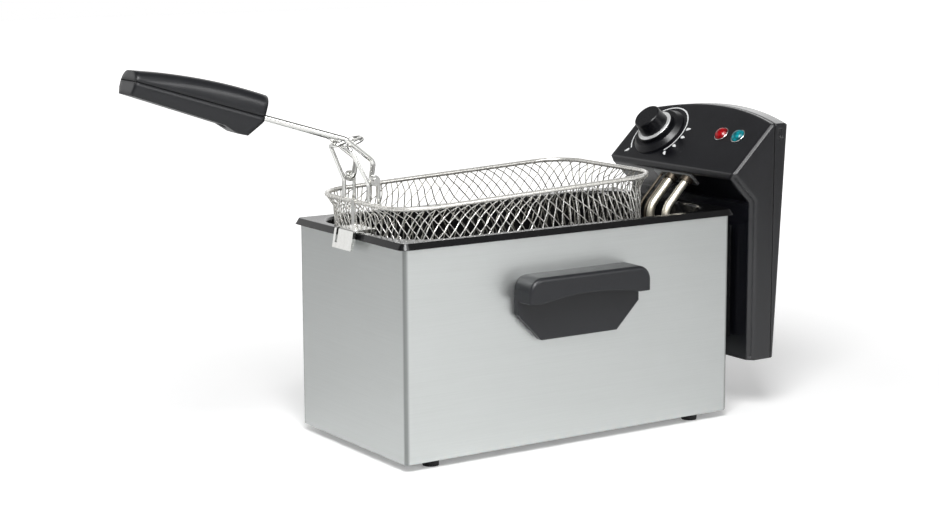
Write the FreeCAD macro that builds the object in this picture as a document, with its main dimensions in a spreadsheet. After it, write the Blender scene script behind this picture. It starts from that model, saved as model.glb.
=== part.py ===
import FreeCAD, Part
import math
import os
from types import SimpleNamespace

import Sketcher

# Counter-top deep fryer: a steel housing on rubber feet, a drop-in oil pan, a lift-off control
# unit that carries the heating element, and a wire basket hung on the pan's rim to drain.
# Millimetres, +Z up. The origin is on the table, under the centre of the housing: +X points to the
# control unit, +Y to the back.

SIZES = {
    # Housing and feet
    "housing_length": 297.0,
    "housing_width": 152.0,
    "housing_height": 159.3,
    "housing_corner": 2.5,
    "housing_sheet": 1.0,
    "bottom_flange": 21.0,
    "base_sheet": 1.2,
    "foot_height": 6.0,
    "foot_diameter": 13.0,
    "foot_inset_x": 28.0,
    "foot_inset_y": 12.0,
    "screw_diameter": 3.2,
    "screw_hole": 3.3,
    "screw_head": 6.4,
    "screw_head_height": 2.0,
    # Side carry handles
    "carry_width": 110.0,
    "carry_top": 134.6,
    "carry_reach": 21.8,
    "carry_hood_height": 19.0,
    "carry_wall": 3.0,
    "carry_plate": 6.0,
    "carry_plate_drop": 49.6,
    "carry_shoulder_drop": 29.0,
    "carry_foot_width": 69.0,
    "carry_corner": 11.0,
    "carry_arch": 4.2,
    "carry_screw_spacing": 60.0,
    # Oil pan
    "pan_sheet": 1.2,
    "pan_inset": 6.5,
    "pan_depth": 148.0,
    "pan_draft": 5.0,
    "pan_corner": 32.0,
    "pan_floor_radius": 17.0,
    "rim_overhang": 4.4,
    "rim_top_overhang": 1.6,
    "rim_drop": 4.5,
    "rim_roll": 2.4,
    # Basket
    "basket_end_room": 59.0,
    "basket_side_room": 11.0,
    "basket_corner": 28.0,
    "basket_depth": 98.0,
    "basket_draft": 3.0,
    "basket_end": 6.0,
    "basket_lift": 20.5,
    "basket_tilt": 2.5,
    "rim_wire": 3.5,
    "mesh_wire": 1.2,
    "mesh_pitch": 21.0,
    "mesh_bar": 1.6,
    "mesh_inset": 5.0,
    "mesh_flare": 7.0,
    "mesh_floor_radius": 12.0,
    "hook_width": 27.0,
    "hook_sheet": 2.0,
    "hook_drop": 12.5,
    "hook_flare": 2.8,
    "hook_gap": 0.6,
    "rest_gap": 0.25,
    "slip_fit": 0.05,
    "hook_neck": 4.5,
    "hook_slot": 3.0,
    "hook_shift": 4.0,
    # Basket handle
    "bracket_wire": 3.2,
    "bracket_spread": 17.8,
    "bracket_bow": 6.5,
    "handle_wire_size": 4.0,
    "pivot_setback": 5.0,
    "pivot_height": 17.0,
    "knee_reach": 2.5,
    "knee_rise": 13.4,
    "shank_reach": 20.5,
    "shank_rise": 31.0,
    "cradle_run": 23.0,
    "cradle_gap": 0.35,
    "bow_reach": 17.5,
    "bow_rise": 5.5,
    "wire_spread": 12.5,
    "grip_wire_spread": 7.0,
    "handle_slope": 17.0,
    "shank_length": 67.0,
    "grip_length": 101.0,
    "grip_width": 25.0,
    "grip_crown": 15.4,
    "grip_end_crown": 7.0,
    "grip_crown_radius": 415.0,
    "grip_bevel": 5.0,
    "grip_belly": 12.5,
    "grip_end_belly": 9.8,
    "grip_guard": 3.0,
    # Control unit
    "control_gap": 21.0,
    "control_overhang": 3.0,
    "control_base": 43.0,
    "underside_angle": 44.3,
    "control_wall": 2.5,
    "control_depth": 21.5,
    "control_chamfer": 4.5,
    "panel_round": 2.5,
    "cover_round": 3.0,
    "lip_reach": 1.0,
    "lip_bottom": 189.0,
    "lip_height": 5.0,
    "panel_angle": 43.5,
    "arch_top": 239.0,
    "arch_radius": 360.0,
    "seam_bow": 8.5,
    "cover_depth": 2.5,
    "cover_lean": 3.2,
    "rail_height": 90.0,
    "rail_base": 60.0,
    "rail_sheet": 1.5,
    "rail_depth": 18.0,
    "rail_inset": 18.0,
    "rail_lip": 12.0,
    "rail_clearance": 0.5,
    # Dial and lamps
    "knob_across": 40.5,
    "knob_along": 30.0,
    "knob_diameter": 25.4,
    "knob_height": 20.4,
    "skirt_diameter": 33.0,
    "bezel_diameter": 47.0,
    "bezel_height": 5.0,
    "knob_clearance": 0.5,
    "shaft_diameter": 6.0,
    "lamp_along": 37.0,
    "lamp_across": 32.0,
    "lamp_spacing": 20.0,
    "lens_diameter": 11.5,
    "lens_height": 4.0,
    "lamp_hole": 9.0,
    # Heating element and its sensors
    "element_tube": 6.4,
    "element_spread": 9.6,
    "element_exit": 4.5,
    "element_shift": 9.0,
    "element_leg_room": 17.5,
    "element_height": 11.5,
    "element_bend": 16.0,
    "element_side_room": 29.0,
    "element_front_room": 53.0,
    "element_back_room": 43.0,
    "element_loop": 15.0,
    "hairpin_setback": 20.0,
    "probe_tube": 2.2,
    "probe_bulb": 5.5,
    "probe_length": 80.0,
    "probe_setback": 35.0,
    "probe_spacing": 7.0,
    "clip_sheet": 1.2,
    # Pieces inside the control unit
    "thermostat_side": 32.0,
    "thermostat_depth": 16.0,
    "reset_diameter": 7.0,
    "reset_height": 150.0,
    "reset_across": 35.0,
    "reset_proud": 2.5,
    "gland_diameter": 16.0,
    "gland_bore": 7.2,
    "gland_height": 72.0,
    "gland_across": 44.66,
    "gland_reach": 22.0,
    "cutout_side": 24.0,
    "terminal_length": 40.0,
    "terminal_depth": 14.0,
    "terminal_height": 15.0,
    "terminal_lift": 20.0,
    "switch_length": 20.0,
    "switch_depth": 10.0,
    "switch_height": 15.0,
    "notch_length": 4.0,
    "notch_height": 7.0,
    "notch_lift": 25.0,
}

doc = FreeCAD.newDocument("DeepFryer")
sheet = doc.addObject("Spreadsheet::Sheet", "Sizes")
for row, (alias, number) in enumerate(SIZES.items(), start=1):
    sheet.set(f"A{row}", alias)
    sheet.set(f"B{row}", str(number))
    sheet.setAlias(f"B{row}", alias)
doc.recompute()

Vector = FreeCAD.Vector
UP = Vector(0, 0, 1)
ACROSS = Vector(0, 1, 0)
ALONG = Vector(1, 0, 0)


class Size:
    """A number worked out from the sheet, with the expression that binds a property to it."""

    def __init__(self, number, text):
        self.number = number
        self.text = text

    def __add__(self, other):
        other = sized(other)
        return Size(self.number + other.number, f"({self.text} + {other.text})")

    def __sub__(self, other):
        other = sized(other)
        return Size(self.number - other.number, f"({self.text} - {other.text})")

    def __mul__(self, other):
        other = sized(other)
        return Size(self.number * other.number, f"({self.text} * {other.text})")

    def __truediv__(self, other):
        other = sized(other)
        return Size(self.number / other.number, f"({self.text} / {other.text})")

    def __radd__(self, other):
        return sized(other) + self

    def __rsub__(self, other):
        return sized(other) - self

    def __rmul__(self, other):
        return sized(other) * self

    def __neg__(self):
        return Size(-self.number, f"(-{self.text})")

    def __float__(self):
        return self.number


def sized(value):
    return value if isinstance(value, Size) else Size(float(value), f"({float(value)})")


def sine(angle):
    return Size(math.sin(math.radians(float(angle))), f"sin({angle.text} * 1deg)")


def cosine(angle):
    return Size(math.cos(math.radians(float(angle))), f"cos({angle.text} * 1deg)")


def whole(value):
    return Size(math.floor(float(value)), f"floor({value.text})")


def bind(thing, **properties):
    for path, value in properties.items():
        thing.setExpression(path.replace("__", "."), sized(value).text)


d = SimpleNamespace(**{alias: Size(float(sheet.get(alias)), f"Sizes.{alias}") for alias in SIZES})
nodes = []


def node(thing, label):
    """Gives a finished sub-part its name and puts it on the list of pieces."""
    thing.Label = label
    nodes.append(thing)
    return thing


def place(thing, x=0, y=0, z=0, axis=None, angle=0):
    if axis is not None:
        thing.Placement = FreeCAD.Placement(Vector(), FreeCAD.Rotation(axis, float(angle)))
        bind(thing, Placement__Rotation__Angle=angle)
    bind(thing, Placement__Base__x=x, Placement__Base__y=y, Placement__Base__z=z)
    return thing


def new_body(name):
    body = doc.addObject("PartDesign::Body", name)
    doc.recompute()
    return body


def new_sketch(body, plane, offset=0):
    """A sketch on one of the body's own planes, moved along that plane's normal."""
    sketch = body.newObject("Sketcher::SketchObject", f"{body.Name}_outline")
    support = next(f for f in body.Origin.OriginFeatures if f.Role == f"{plane}_Plane")
    sketch.AttachmentSupport = [(support, "")]
    sketch.MapMode = "FlatFace"
    bind(sketch, AttachmentOffset__Base__z=offset)
    return sketch


def constrain(sketch, kind, geometry, value, end=None):
    value = sized(value)
    where = (geometry,) if end is None else (geometry, end)
    index = sketch.addConstraint(Sketcher.Constraint(kind, *where, value.number))
    sketch.setExpression(f"Constraints[{index}]", value.text)


def arc_between(first, last, radius):
    """The arc from first to last that bulges to the right of the way between them."""
    middle = (first + last) * 0.5
    half = (last - first).Length / 2
    left = UP.cross(last - first).normalize()
    centre = middle + left * math.sqrt(radius * radius - half * half)
    angles = [math.atan2(p.y - centre.y, p.x - centre.x) for p in (first, last)]
    return Part.ArcOfCircle(Part.Circle(centre, UP, radius), *angles)


def outline(sketch, corners):
    """A closed outline, anticlockwise. A corner's third number bends its side outwards by that radius."""
    points = [Vector(float(sized(c[0])), float(sized(c[1])), 0) for c in corners]
    first_side = sketch.GeometryCount
    count = len(corners)
    for index, corner in enumerate(corners):
        ends = points[index], points[(index + 1) % count]
        if len(corner) == 3:
            sketch.addGeometry(arc_between(*ends, float(corner[2])), False)
        else:
            sketch.addGeometry(Part.LineSegment(*ends), False)
    for index, corner in enumerate(corners):
        side = first_side + index
        sketch.addConstraint(Sketcher.Constraint("Coincident", side, 2, first_side + (index + 1) % count, 1))
        constrain(sketch, "DistanceX", side, corner[0], 1)
        constrain(sketch, "DistanceY", side, corner[1], 1)
        if len(corner) == 3:
            constrain(sketch, "Radius", side, corner[2])
    return sketch


def box_outline(sketch, left, right, low, high):
    return outline(sketch, [(left, low), (right, low), (right, high), (left, high)])


def rounded_outline(sketch, left, right, low, high, radius):
    """A rectangle whose four corners are arcs of one radius."""
    return outline(sketch, [
        (left + radius, low),
        (right - radius, low, radius),
        (right, low + radius),
        (right, high - radius, radius),
        (right - radius, high),
        (left + radius, high, radius),
        (left, high - radius),
        (left, low + radius, radius),
    ])


def circles(sketch, centres, diameter):
    for x, y in centres:
        centre = Vector(float(sized(x)), float(sized(y)), 0)
        circle = sketch.addGeometry(Part.Circle(centre, UP, float(diameter) / 2), False)
        constrain(sketch, "DistanceX", circle, x, 3)
        constrain(sketch, "DistanceY", circle, y, 3)
        constrain(sketch, "Radius", circle, diameter / 2)
    return sketch


def pad(body, sketch, length, symmetric=False, reverse=False):
    feature = body.newObject("PartDesign::Pad", f"{body.Name}_pad")
    feature.Profile = sketch
    feature.SideType = "Symmetric" if symmetric else "One side"
    feature.Reversed = reverse
    bind(feature, Length=length)
    return feature


def pocket(body, sketch, depth, symmetric=False, reverse=False):
    """Cuts against the sketch's normal, or along it when reversed, and insists on removing something."""
    doc.recompute()
    before = body.Shape.Volume
    feature = body.newObject("PartDesign::Pocket", f"{body.Name}_pocket")
    feature.Profile = sketch
    feature.SideType = "Symmetric" if symmetric else "One side"
    feature.Reversed = reverse
    bind(feature, Length=depth)
    doc.recompute()
    if body.Shape.Volume >= before:
        raise RuntimeError(f"{feature.Name} removes nothing")
    return feature


def revolve(body, sketch):
    feature = body.newObject("PartDesign::Revolution", f"{body.Name}_turned")
    feature.Profile = sketch
    feature.ReferenceAxis = (sketch, ["V_Axis"])
    feature.Angle = 360
    return feature


def repeat(body, feature, sketch, columns, rows, pitch):
    """Repeats a feature at one pitch along both axes of its sketch."""
    pattern = body.newObject("PartDesign::LinearPattern", f"{body.Name}_grid")
    pattern.Originals = [feature]
    pattern.Direction = (sketch, ["H_Axis"])
    pattern.Direction2 = (sketch, ["V_Axis"])
    pattern.Mode = "Spacing"
    pattern.Mode2 = "Extent"
    bind(pattern, Offset=pitch, Occurrences=columns, Length2=(rows - 1) * pitch, Occurrences2=rows)
    body.Tip = pattern
    return pattern


def loft(body, kind, first, last):
    feature = body.newObject(f"PartDesign::{kind}Loft", f"{body.Name}_loft")
    feature.Profile = first
    feature.Sections = [last]
    feature.Ruled = True
    return feature


def dress_edges(body, kind, pick, **size):
    """Fillets or chamfers the edges of the body's last feature that pick() accepts."""
    doc.recompute()
    base = body.Tip
    names = [f"Edge{i}" for i, edge in enumerate(base.Shape.Edges, start=1) if pick(edge)]
    feature = body.newObject(f"PartDesign::{kind}", f"{body.Name}_{kind.lower()}")
    feature.Base = (base, names)
    bind(feature, **size)
    return feature


def runs_along(edge, direction):
    if not isinstance(edge.Curve, Part.Line):
        return False
    return abs(abs(edge.tangentAt(edge.FirstParameter).dot(direction)) - 1) < 1e-6


def near(number, value):
    return abs(number - float(value)) < 1e-3


def lies_at(edge, height):
    """True for an edge that lies flat at the given height."""
    return near(edge.CenterOfMass.z, height) and near(edge.BoundBox.ZLength, 0)


def within(edge, half_x, half_y):
    middle = edge.CenterOfMass
    return abs(middle.x) <= float(half_x) + 1e-3 and abs(middle.y) <= float(half_y) + 1e-3


def turned_body(name, profile):
    """A body turned about its own Z axis from a list of (radius, height) corners."""
    body = new_body(name)
    revolve(body, outline(new_sketch(body, "XZ"), profile))
    return body


def screw_profile(head_low, shank_top):
    """Pan-head screw, head down: the head stands on head_low and the shank ends at shank_top."""
    head = d.screw_head / 2
    shank = d.screw_diameter / 2
    head_top = head_low + d.screw_head_height
    return [
        (0, head_low), (head, head_low), (head, head_top), (shank, head_top), (shank, shank_top), (0, shank_top)]


def group(label, pieces):
    compound = doc.addObject("Part::Compound", label)
    compound.Links = pieces
    return node(compound, label)


def boolean(kind, name, pieces):
    """Part::Cut takes a base and a tool; the multi kinds take any number of pieces."""
    result = doc.addObject(f"Part::{kind}", name)
    if kind == "Cut":
        result.Base, result.Tool = pieces
    else:
        result.Shapes = pieces
    return result


def cylinder(name, diameter, length):
    thing = doc.addObject("Part::Cylinder", name)
    bind(thing, Radius=diameter / 2, Height=length)
    return thing


def block(name, length, width, height):
    thing = doc.addObject("Part::Box", name)
    bind(thing, Length=length, Width=width, Height=height)
    return thing


def solid(name, shape):
    thing = doc.addObject("Part::Feature", name)
    thing.Shape = shape
    thing.Placement = FreeCAD.Placement()
    return thing


def rounded_path(points, radii):
    """Straight runs joined by tangent arcs, one radius for each inner point."""
    edges = []
    start = points[0]
    for before, corner, after, radius in zip(points, points[1:], points[2:], radii):
        inward = (before - corner).normalize()
        outward = (after - corner).normalize()
        half_angle = inward.getAngle(outward) / 2
        bisector = (inward + outward).normalize()
        first = corner + inward * (radius / math.tan(half_angle))
        last = corner + outward * (radius / math.tan(half_angle))
        middle = corner + bisector * (radius / math.sin(half_angle) - radius)
        if (first - start).Length > 1e-4:
            edges.append(Part.LineSegment(start, first).toShape())
        edges.append(Part.Arc(first, middle, last).toShape())
        start = last
    edges.append(Part.LineSegment(start, points[-1]).toShape())
    return Part.Wire(edges)


def bent_rod(points, radii, diameter):
    path = rounded_path(points, radii)
    section = Part.Wire(Part.makeCircle(diameter / 2, points[0], points[1] - points[0]))
    rod = path.makePipeShell([section], True, False)
    expected = path.Length * math.pi * diameter * diameter / 4
    if abs(rod.Volume - expected) > 0.01 * expected:
        raise RuntimeError(f"bent rod of {diameter} mm has volume {rod.Volume:.1f}, not {expected:.1f}")
    return rod


def mirrored(points):
    return [Vector(p.x, -p.y, p.z) for p in reversed(points)]


half_length = d.housing_length / 2
half_width = d.housing_width / 2
housing_top = d.foot_height + d.housing_height
rim_top = housing_top + d.pan_sheet
foot_x = half_length - d.foot_inset_x
foot_y = half_width - d.foot_inset_y
foot_spots = {
    "front_left": (-foot_x, -foot_y),
    "front_right": (foot_x, -foot_y),
    "rear_left": (-foot_x, foot_y),
    "rear_right": (foot_x, foot_y),
}
rail_spacing = d.housing_width - 2 * d.rail_inset
control_width = d.housing_width + 2 * d.control_overhang
carry_screw_x = d.carry_screw_spacing / 2
carry_screw_z = d.carry_top - d.carry_shoulder_drop - d.carry_plate
rail_spots = [(side * (rail_spacing / 2 - d.rail_lip / 2), d.rail_base + d.rail_height * share)
              for side in (-1, 1) for share in (0.2, 0.8)]


# Housing: a wrapped stainless sheet, open on top, with its lower edge turned in to carry the base.
housing = new_body("housing_shell")
pad(housing, rounded_outline(new_sketch(housing, "XY", d.foot_height), -half_length, half_length,
                             -half_width, half_width, d.housing_corner), d.housing_height)
inner_x = half_length - d.housing_sheet
inner_y = half_width - d.housing_sheet
pocket(housing, rounded_outline(new_sketch(housing, "XY", housing_top), -inner_x, inner_x, -inner_y, inner_y,
                                d.housing_corner - d.housing_sheet), d.housing_height - d.housing_sheet)
flange_x = half_length - d.bottom_flange
flange_y = half_width - d.bottom_flange
pocket(housing, rounded_outline(new_sketch(housing, "XY", housing_top), -flange_x, flange_x,
                                -flange_y, flange_y, d.housing_corner), d.housing_height)
pocket(housing, circles(new_sketch(housing, "XY", d.foot_height), foot_spots.values(), d.screw_hole),
       d.housing_sheet, reverse=True)
carry_screw_spots = [(-carry_screw_x, carry_screw_z), (carry_screw_x, carry_screw_z)]
pocket(housing, circles(new_sketch(housing, "XZ"), carry_screw_spots, d.screw_hole), d.housing_width,
       symmetric=True)
pocket(housing, circles(new_sketch(housing, "YZ", half_length), rail_spots, d.screw_hole), d.housing_sheet)
node(housing, "housing_shell")

# Base plate: a flat sheet laid on the turned-in flange, with a row of cooling slots.
base = new_body("base_plate")
base_low = d.foot_height + d.housing_sheet
base_x = inner_x - d.hook_gap
base_y = inner_y - d.hook_gap
pad(base, rounded_outline(new_sketch(base, "XY", base_low), -base_x, base_x, -base_y, base_y,
                          d.housing_corner - d.housing_sheet), d.base_sheet)
pocket(base, circles(new_sketch(base, "XY", base_low), foot_spots.values(), d.screw_hole), d.base_sheet,
       reverse=True)
node(base, "base_plate")

# Feet: turned rubber pads with a recess for the screw head, and the screws that hold them.
screws = []
foot_recess = d.screw_head / 2 + 0.4
screw_seat = d.screw_head_height + 1
for corner, (x, y) in foot_spots.items():
    foot = turned_body(f"foot_{corner}", [
        (foot_recess, 0),
        (d.foot_diameter / 2 - 0.5, 0),
        (d.foot_diameter / 2, d.foot_height),
        (d.screw_hole / 2, d.foot_height),
        (d.screw_hole / 2, screw_seat),
        (foot_recess, screw_seat),
    ])
    node(place(foot, x, y), f"foot_{corner}")
    shank_top = base_low + d.base_sheet + 1.5
    screw = turned_body(f"foot_screw_{corner}", screw_profile(sized(1), shank_top))
    screws.append(place(screw, x, y))
group("foot_screws", screws)


# Carry handles: a moulded plate screwed to the wall under a hood that the fingers reach up into.
def carry_handle(name):
    body = new_body(name)
    half = d.carry_width / 2
    foot = d.carry_foot_width / 2
    hood_low = d.carry_top - d.carry_hood_height
    shoulder = d.carry_top - d.carry_shoulder_drop
    plate_low = d.carry_top - d.carry_plate_drop
    pad(body, outline(new_sketch(body, "XZ"), [
        (-half, shoulder), (-foot, plate_low), (foot, plate_low), (half, shoulder),
        (half, d.carry_top), (-half, d.carry_top)]), d.carry_plate)
    pad(body, box_outline(new_sketch(body, "XZ"), -half, half, hood_low, d.carry_top), d.carry_reach)
    dress_edges(body, "Fillet", lambda e: runs_along(e, ACROSS) and near(e.CenterOfMass.z, d.carry_top),
                Radius=d.carry_corner)
    dress_edges(body, "Fillet", lambda e: near(e.CenterOfMass.y, -d.carry_reach)
                and e.CenterOfMass.z > float(hood_low) + 1, Radius=d.carry_wall)
    end_wall = d.carry_corner - d.carry_wall
    pocket(body, box_outline(new_sketch(body, "XY", hood_low), end_wall - half, half - end_wall,
                             d.carry_wall - d.carry_reach, -d.carry_plate),
           d.carry_hood_height - d.carry_wall, reverse=True)
    arch_half = half - d.carry_corner
    arch_radius = (arch_half * arch_half + d.carry_arch * d.carry_arch) / (2 * d.carry_arch)
    pocket(body, outline(new_sketch(body, "XZ", d.carry_reach), [
        (-arch_half, hood_low - 1), (arch_half, hood_low - 1),
        (arch_half, hood_low, arch_radius), (-arch_half, hood_low)]), d.carry_wall + 1)
    pocket(body, circles(new_sketch(body, "XZ"), carry_screw_spots, d.screw_hole), d.carry_plate - 1,
           reverse=True)
    return body


carry_screws = []
for label, side, turn in (("front", -1, 0), ("rear", 1, 180)):
    handle = carry_handle(f"side_handle_{label}")
    node(place(handle, y=side * half_width, axis=UP, angle=turn), f"side_handle_{label}")
    for x, z in carry_screw_spots:
        head_low = d.housing_sheet + d.screw_head_height
        screw = turned_body(f"carry_screw_{label}", screw_profile(-head_low, d.carry_plate - 1))
        carry_screws.append(place(screw, x, side * half_width, z, ALONG, -90 * side))
group("side_handle_screws", carry_screws)


# Guide rails: two channels riveted to the housing's end wall, closed below, that the control unit
# is lowered into.
def guide_rail(name, side):
    body = new_body(name)
    web = rail_spacing / 2
    edge = web - d.rail_lip
    rear = half_length + d.rail_depth
    corners = [
        (half_length, edge), (half_length + d.rail_sheet, edge),
        (half_length + d.rail_sheet, web - d.rail_sheet), (rear - d.rail_sheet, web - d.rail_sheet),
        (rear - d.rail_sheet, edge), (rear, edge), (rear, web), (half_length, web)]
    if side < 0:
        corners = [(x, -y) for x, y in reversed(corners)]
    pad(body, outline(new_sketch(body, "XY", d.rail_base), corners), d.rail_height)
    ends = sorted((side * edge, side * web), key=float)
    pad(body, box_outline(new_sketch(body, "XY", d.rail_base), half_length, rear, *ends), d.rail_sheet)
    spots = [spot for spot in rail_spots if float(spot[0]) * side > 0]
    pocket(body, circles(new_sketch(body, "YZ", half_length), spots, d.screw_hole), d.rail_sheet,
           reverse=True)
    return body


for label, side in (("front", -1), ("rear", 1)):
    node(guide_rail(f"guide_rail_{label}", side), f"guide_rail_{label}")
rivets = []
for y, z in rail_spots:
    head = d.screw_head / 2
    shank = d.screw_diameter / 2
    grip = d.housing_sheet + d.rail_sheet
    rivet = turned_body("rail_rivet", [
        (0, -1), (head, -1), (head, 0), (shank, 0),
        (shank, grip), (head, grip), (head, grip + 1), (0, grip + 1)])
    rivets.append(place(rivet, half_length - d.housing_sheet, y, z, ACROSS, 90))
group("rail_rivets", rivets)


# Oil pan: deep-drawn enamelled steel. Its flange lies on the housing's edge, with a sloped lip outside.
def pan_outline(body, height, grow, corner):
    return rounded_outline(new_sketch(body, "XY", height), -half_length - grow, half_length + grow,
                           -half_width - grow, half_width + grow, corner)


pan = new_body("oil_pan")
lip_corner = d.housing_corner + d.rim_overhang
lip_low = rim_top - d.rim_drop
loft(pan, "Additive", pan_outline(pan, lip_low, d.rim_overhang, lip_corner),
     pan_outline(pan, rim_top, d.rim_top_overhang, lip_corner - d.rim_overhang + d.rim_top_overhang))
inner_lip_corner = lip_corner - d.pan_sheet
loft(pan, "Subtractive", pan_outline(pan, lip_low, d.rim_overhang - d.pan_sheet, inner_lip_corner),
     pan_outline(pan, housing_top, d.rim_top_overhang - d.pan_sheet,
                 inner_lip_corner - d.rim_overhang + d.rim_top_overhang))
well_corner = d.pan_corner + d.pan_sheet
pan_floor = rim_top - d.pan_depth
loft(pan, "Additive", pan_outline(pan, rim_top - d.pan_sheet / 2, d.pan_sheet - d.pan_inset, well_corner),
     pan_outline(pan, pan_floor - d.pan_sheet, d.pan_sheet - d.pan_inset - d.pan_draft,
                 well_corner - d.pan_draft))
loft(pan, "Subtractive", pan_outline(pan, rim_top, -d.pan_inset, d.pan_corner),
     pan_outline(pan, pan_floor, -d.pan_inset - d.pan_draft, d.pan_corner - d.pan_draft))
for sheet_side in (sized(0), d.pan_sheet):
    dress_edges(pan, "Fillet", lambda e: lies_at(e, pan_floor - sheet_side),
                Radius=d.pan_floor_radius + sheet_side)
dress_edges(pan, "Fillet", lambda e: lies_at(e, rim_top)
            and within(e, half_length - d.pan_inset, half_width - d.pan_inset), Radius=d.rim_roll)
node(pan, "oil_pan")

# Basket: its own frame starts at the left end of the rim wire's centre line and leans with the basket.
basket_x = d.basket_end - half_length
basket_z = rim_top + d.basket_lift
basket_half = half_width - d.basket_side_room
basket_length = d.housing_length - d.basket_end - d.basket_end_room


def hang_basket(thing):
    return place(thing, basket_x, 0, basket_z, -ACROSS, d.basket_tilt)


rim = new_body("basket_rim")
rim_path = rounded_outline(new_sketch(rim, "XY"), sized(0), basket_length, -basket_half, basket_half,
                           d.basket_corner)
rim_section = circles(new_sketch(rim, "XZ"), [(0, 0)], d.rim_wire)
rim_pipe = rim.newObject("PartDesign::AdditivePipe", "rim_pipe")
rim_pipe.Profile = rim_section
rim_pipe.Spine = (rim_path, [])
node(hang_basket(rim), "basket_rim")


def mesh_outline(body, depth, inset):
    return rounded_outline(new_sketch(body, "XY", -depth), inset, basket_length - inset, inset - basket_half,
                           basket_half - inset, d.basket_corner - inset)


mesh = hang_basket(new_body("basket_mesh_blank"))
mesh_top = d.rim_wire / 2
mesh_waist = d.mesh_flare + mesh_top
mesh_floor_inset = d.mesh_inset + d.basket_draft
half_mesh = d.mesh_wire / 2
loft(mesh, "Additive", mesh_outline(mesh, mesh_top, -half_mesh),
     mesh_outline(mesh, mesh_waist, d.mesh_inset - half_mesh))
loft(mesh, "Additive", mesh_outline(mesh, mesh_waist, d.mesh_inset - half_mesh),
     mesh_outline(mesh, d.basket_depth, mesh_floor_inset - half_mesh))
loft(mesh, "Subtractive", mesh_outline(mesh, mesh_top, half_mesh),
     mesh_outline(mesh, mesh_waist, d.mesh_inset + half_mesh))
inner_floor = d.basket_depth - d.mesh_wire
loft(mesh, "Subtractive", mesh_outline(mesh, mesh_waist, d.mesh_inset + half_mesh),
     mesh_outline(mesh, inner_floor, mesh_floor_inset + half_mesh))
for sheet_side in (d.mesh_wire, sized(0)):
    dress_edges(mesh, "Fillet", lambda e: lies_at(e, sheet_side - d.basket_depth),
                Radius=d.mesh_floor_radius - sheet_side)
opening = d.mesh_pitch / 2 - d.mesh_bar * math.sqrt(0.5)
cutters = []


def evenly(low, high):
    """How many openings fit between two ends at the mesh's pitch, and where the first is centred."""
    count = whole((high - low) / d.mesh_pitch)
    return count, (low + high - (count - 1) * d.mesh_pitch) / 2


def diamonds(plane, depth, x, y, columns, rows, symmetric, at=(0, 0), turn=0):
    """A grid of diamond bars to cut with, from a sketch whose plane is shifted and turned upright."""
    cutter = hang_basket(new_body("mesh_cutter"))
    sketch = new_sketch(cutter, plane)
    sketch.AttachmentOffset = FreeCAD.Placement(Vector(), FreeCAD.Rotation(ACROSS, turn))
    bind(sketch, AttachmentOffset__Base__x=at[0], AttachmentOffset__Base__z=at[1])
    outline(sketch, [(x, y - opening), (x + opening, y), (x, y + opening), (x - opening, y)])
    bar = pad(cutter, sketch, depth, symmetric=symmetric)
    repeat(cutter, bar, sketch, columns, rows, d.mesh_pitch)
    cutters.append(cutter)


def lattice(plane, offset, depth, across, up):
    """Two grids of diamond openings, set half a pitch apart, over a rectangle of the plane."""
    columns, first_x = evenly(*across)
    rows, first_y = evenly(*up)
    for shift, fewer in ((sized(0), 0), (d.mesh_pitch / 2, 1)):
        diamonds(plane, depth, first_x + shift, first_y + shift, columns - fewer, rows - fewer, True,
                 (0, offset))


bend_start = d.basket_corner * 0.7
wall_across = (bend_start, basket_length - bend_start)
end_across = (bend_start - basket_half, basket_half - bend_start)
wall_height = (d.mesh_floor_radius / 2 - d.basket_depth, -mesh_top - d.mesh_wire * 2)
floor_edge = mesh_floor_inset + d.mesh_floor_radius
lattice("XZ", 0, 2 * basket_half, wall_across, wall_height)
lattice("YZ", basket_length / 2, basket_length, end_across, wall_height)
lattice("XY", -d.basket_depth, d.mesh_wire * 4, (floor_edge, basket_length - floor_edge),
        (floor_edge - basket_half, basket_half - floor_edge))
bend_y = basket_half - d.basket_corner
bend_x = basket_length - d.basket_corner
wall_rows, wall_row = evenly(*wall_height)
for x, y, turn in ((d.basket_corner, -bend_y, -45), (bend_x, -bend_y, 45), (bend_x, bend_y, 135),
                   (d.basket_corner, bend_y, -135)):
    diamonds("XZ", d.basket_corner, sized(0), wall_row, sized(1), wall_rows, False, (x, -y), turn)
openings = doc.addObject("Part::Compound", "mesh_openings")
openings.Links = cutters
node(boolean("Cut", "basket_mesh", (mesh, openings)), "basket_mesh")

# Drain hook: a bent steel tab that sits on the pan's flange, with a narrow neck up to the rim wire.
hook = new_body("basket_hook")
hook_seat = rim_top + d.rest_gap
hook_top = hook_seat + d.hook_sheet
hook_outer = -half_length - d.rim_overhang - d.hook_gap
hook_inner = basket_x + d.mesh_inset + d.mesh_wire
hook_foot = hook_outer - d.hook_flare
hook_low = rim_top - d.hook_drop
pad(hook, outline(new_sketch(hook, "XZ", d.hook_shift), [
    (hook_inner, hook_seat), (hook_inner, hook_top), (hook_outer - d.hook_sheet, hook_top),
    (hook_foot - d.hook_sheet, hook_low), (hook_foot, hook_low), (hook_outer, hook_seat)]), d.hook_width,
    symmetric=True)
neck_face = basket_x - d.rim_wire / 2
pad(hook, box_outline(new_sketch(hook, "XZ"), neck_face - d.hook_sheet * 0.75, neck_face,
                      hook_seat + d.hook_sheet / 2, basket_z + d.rim_wire / 2), d.hook_neck, symmetric=True)
slot_y = d.hook_width / 2 - d.hook_shift - 2 * d.hook_slot
pocket(hook, box_outline(new_sketch(hook, "YZ", hook_foot - d.hook_sheet * 2), slot_y, slot_y + d.hook_slot,
                         hook_low + d.hook_slot * 1.3, hook_top + d.hook_sheet),
       d.hook_flare + 3 * d.hook_sheet, reverse=True)
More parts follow.
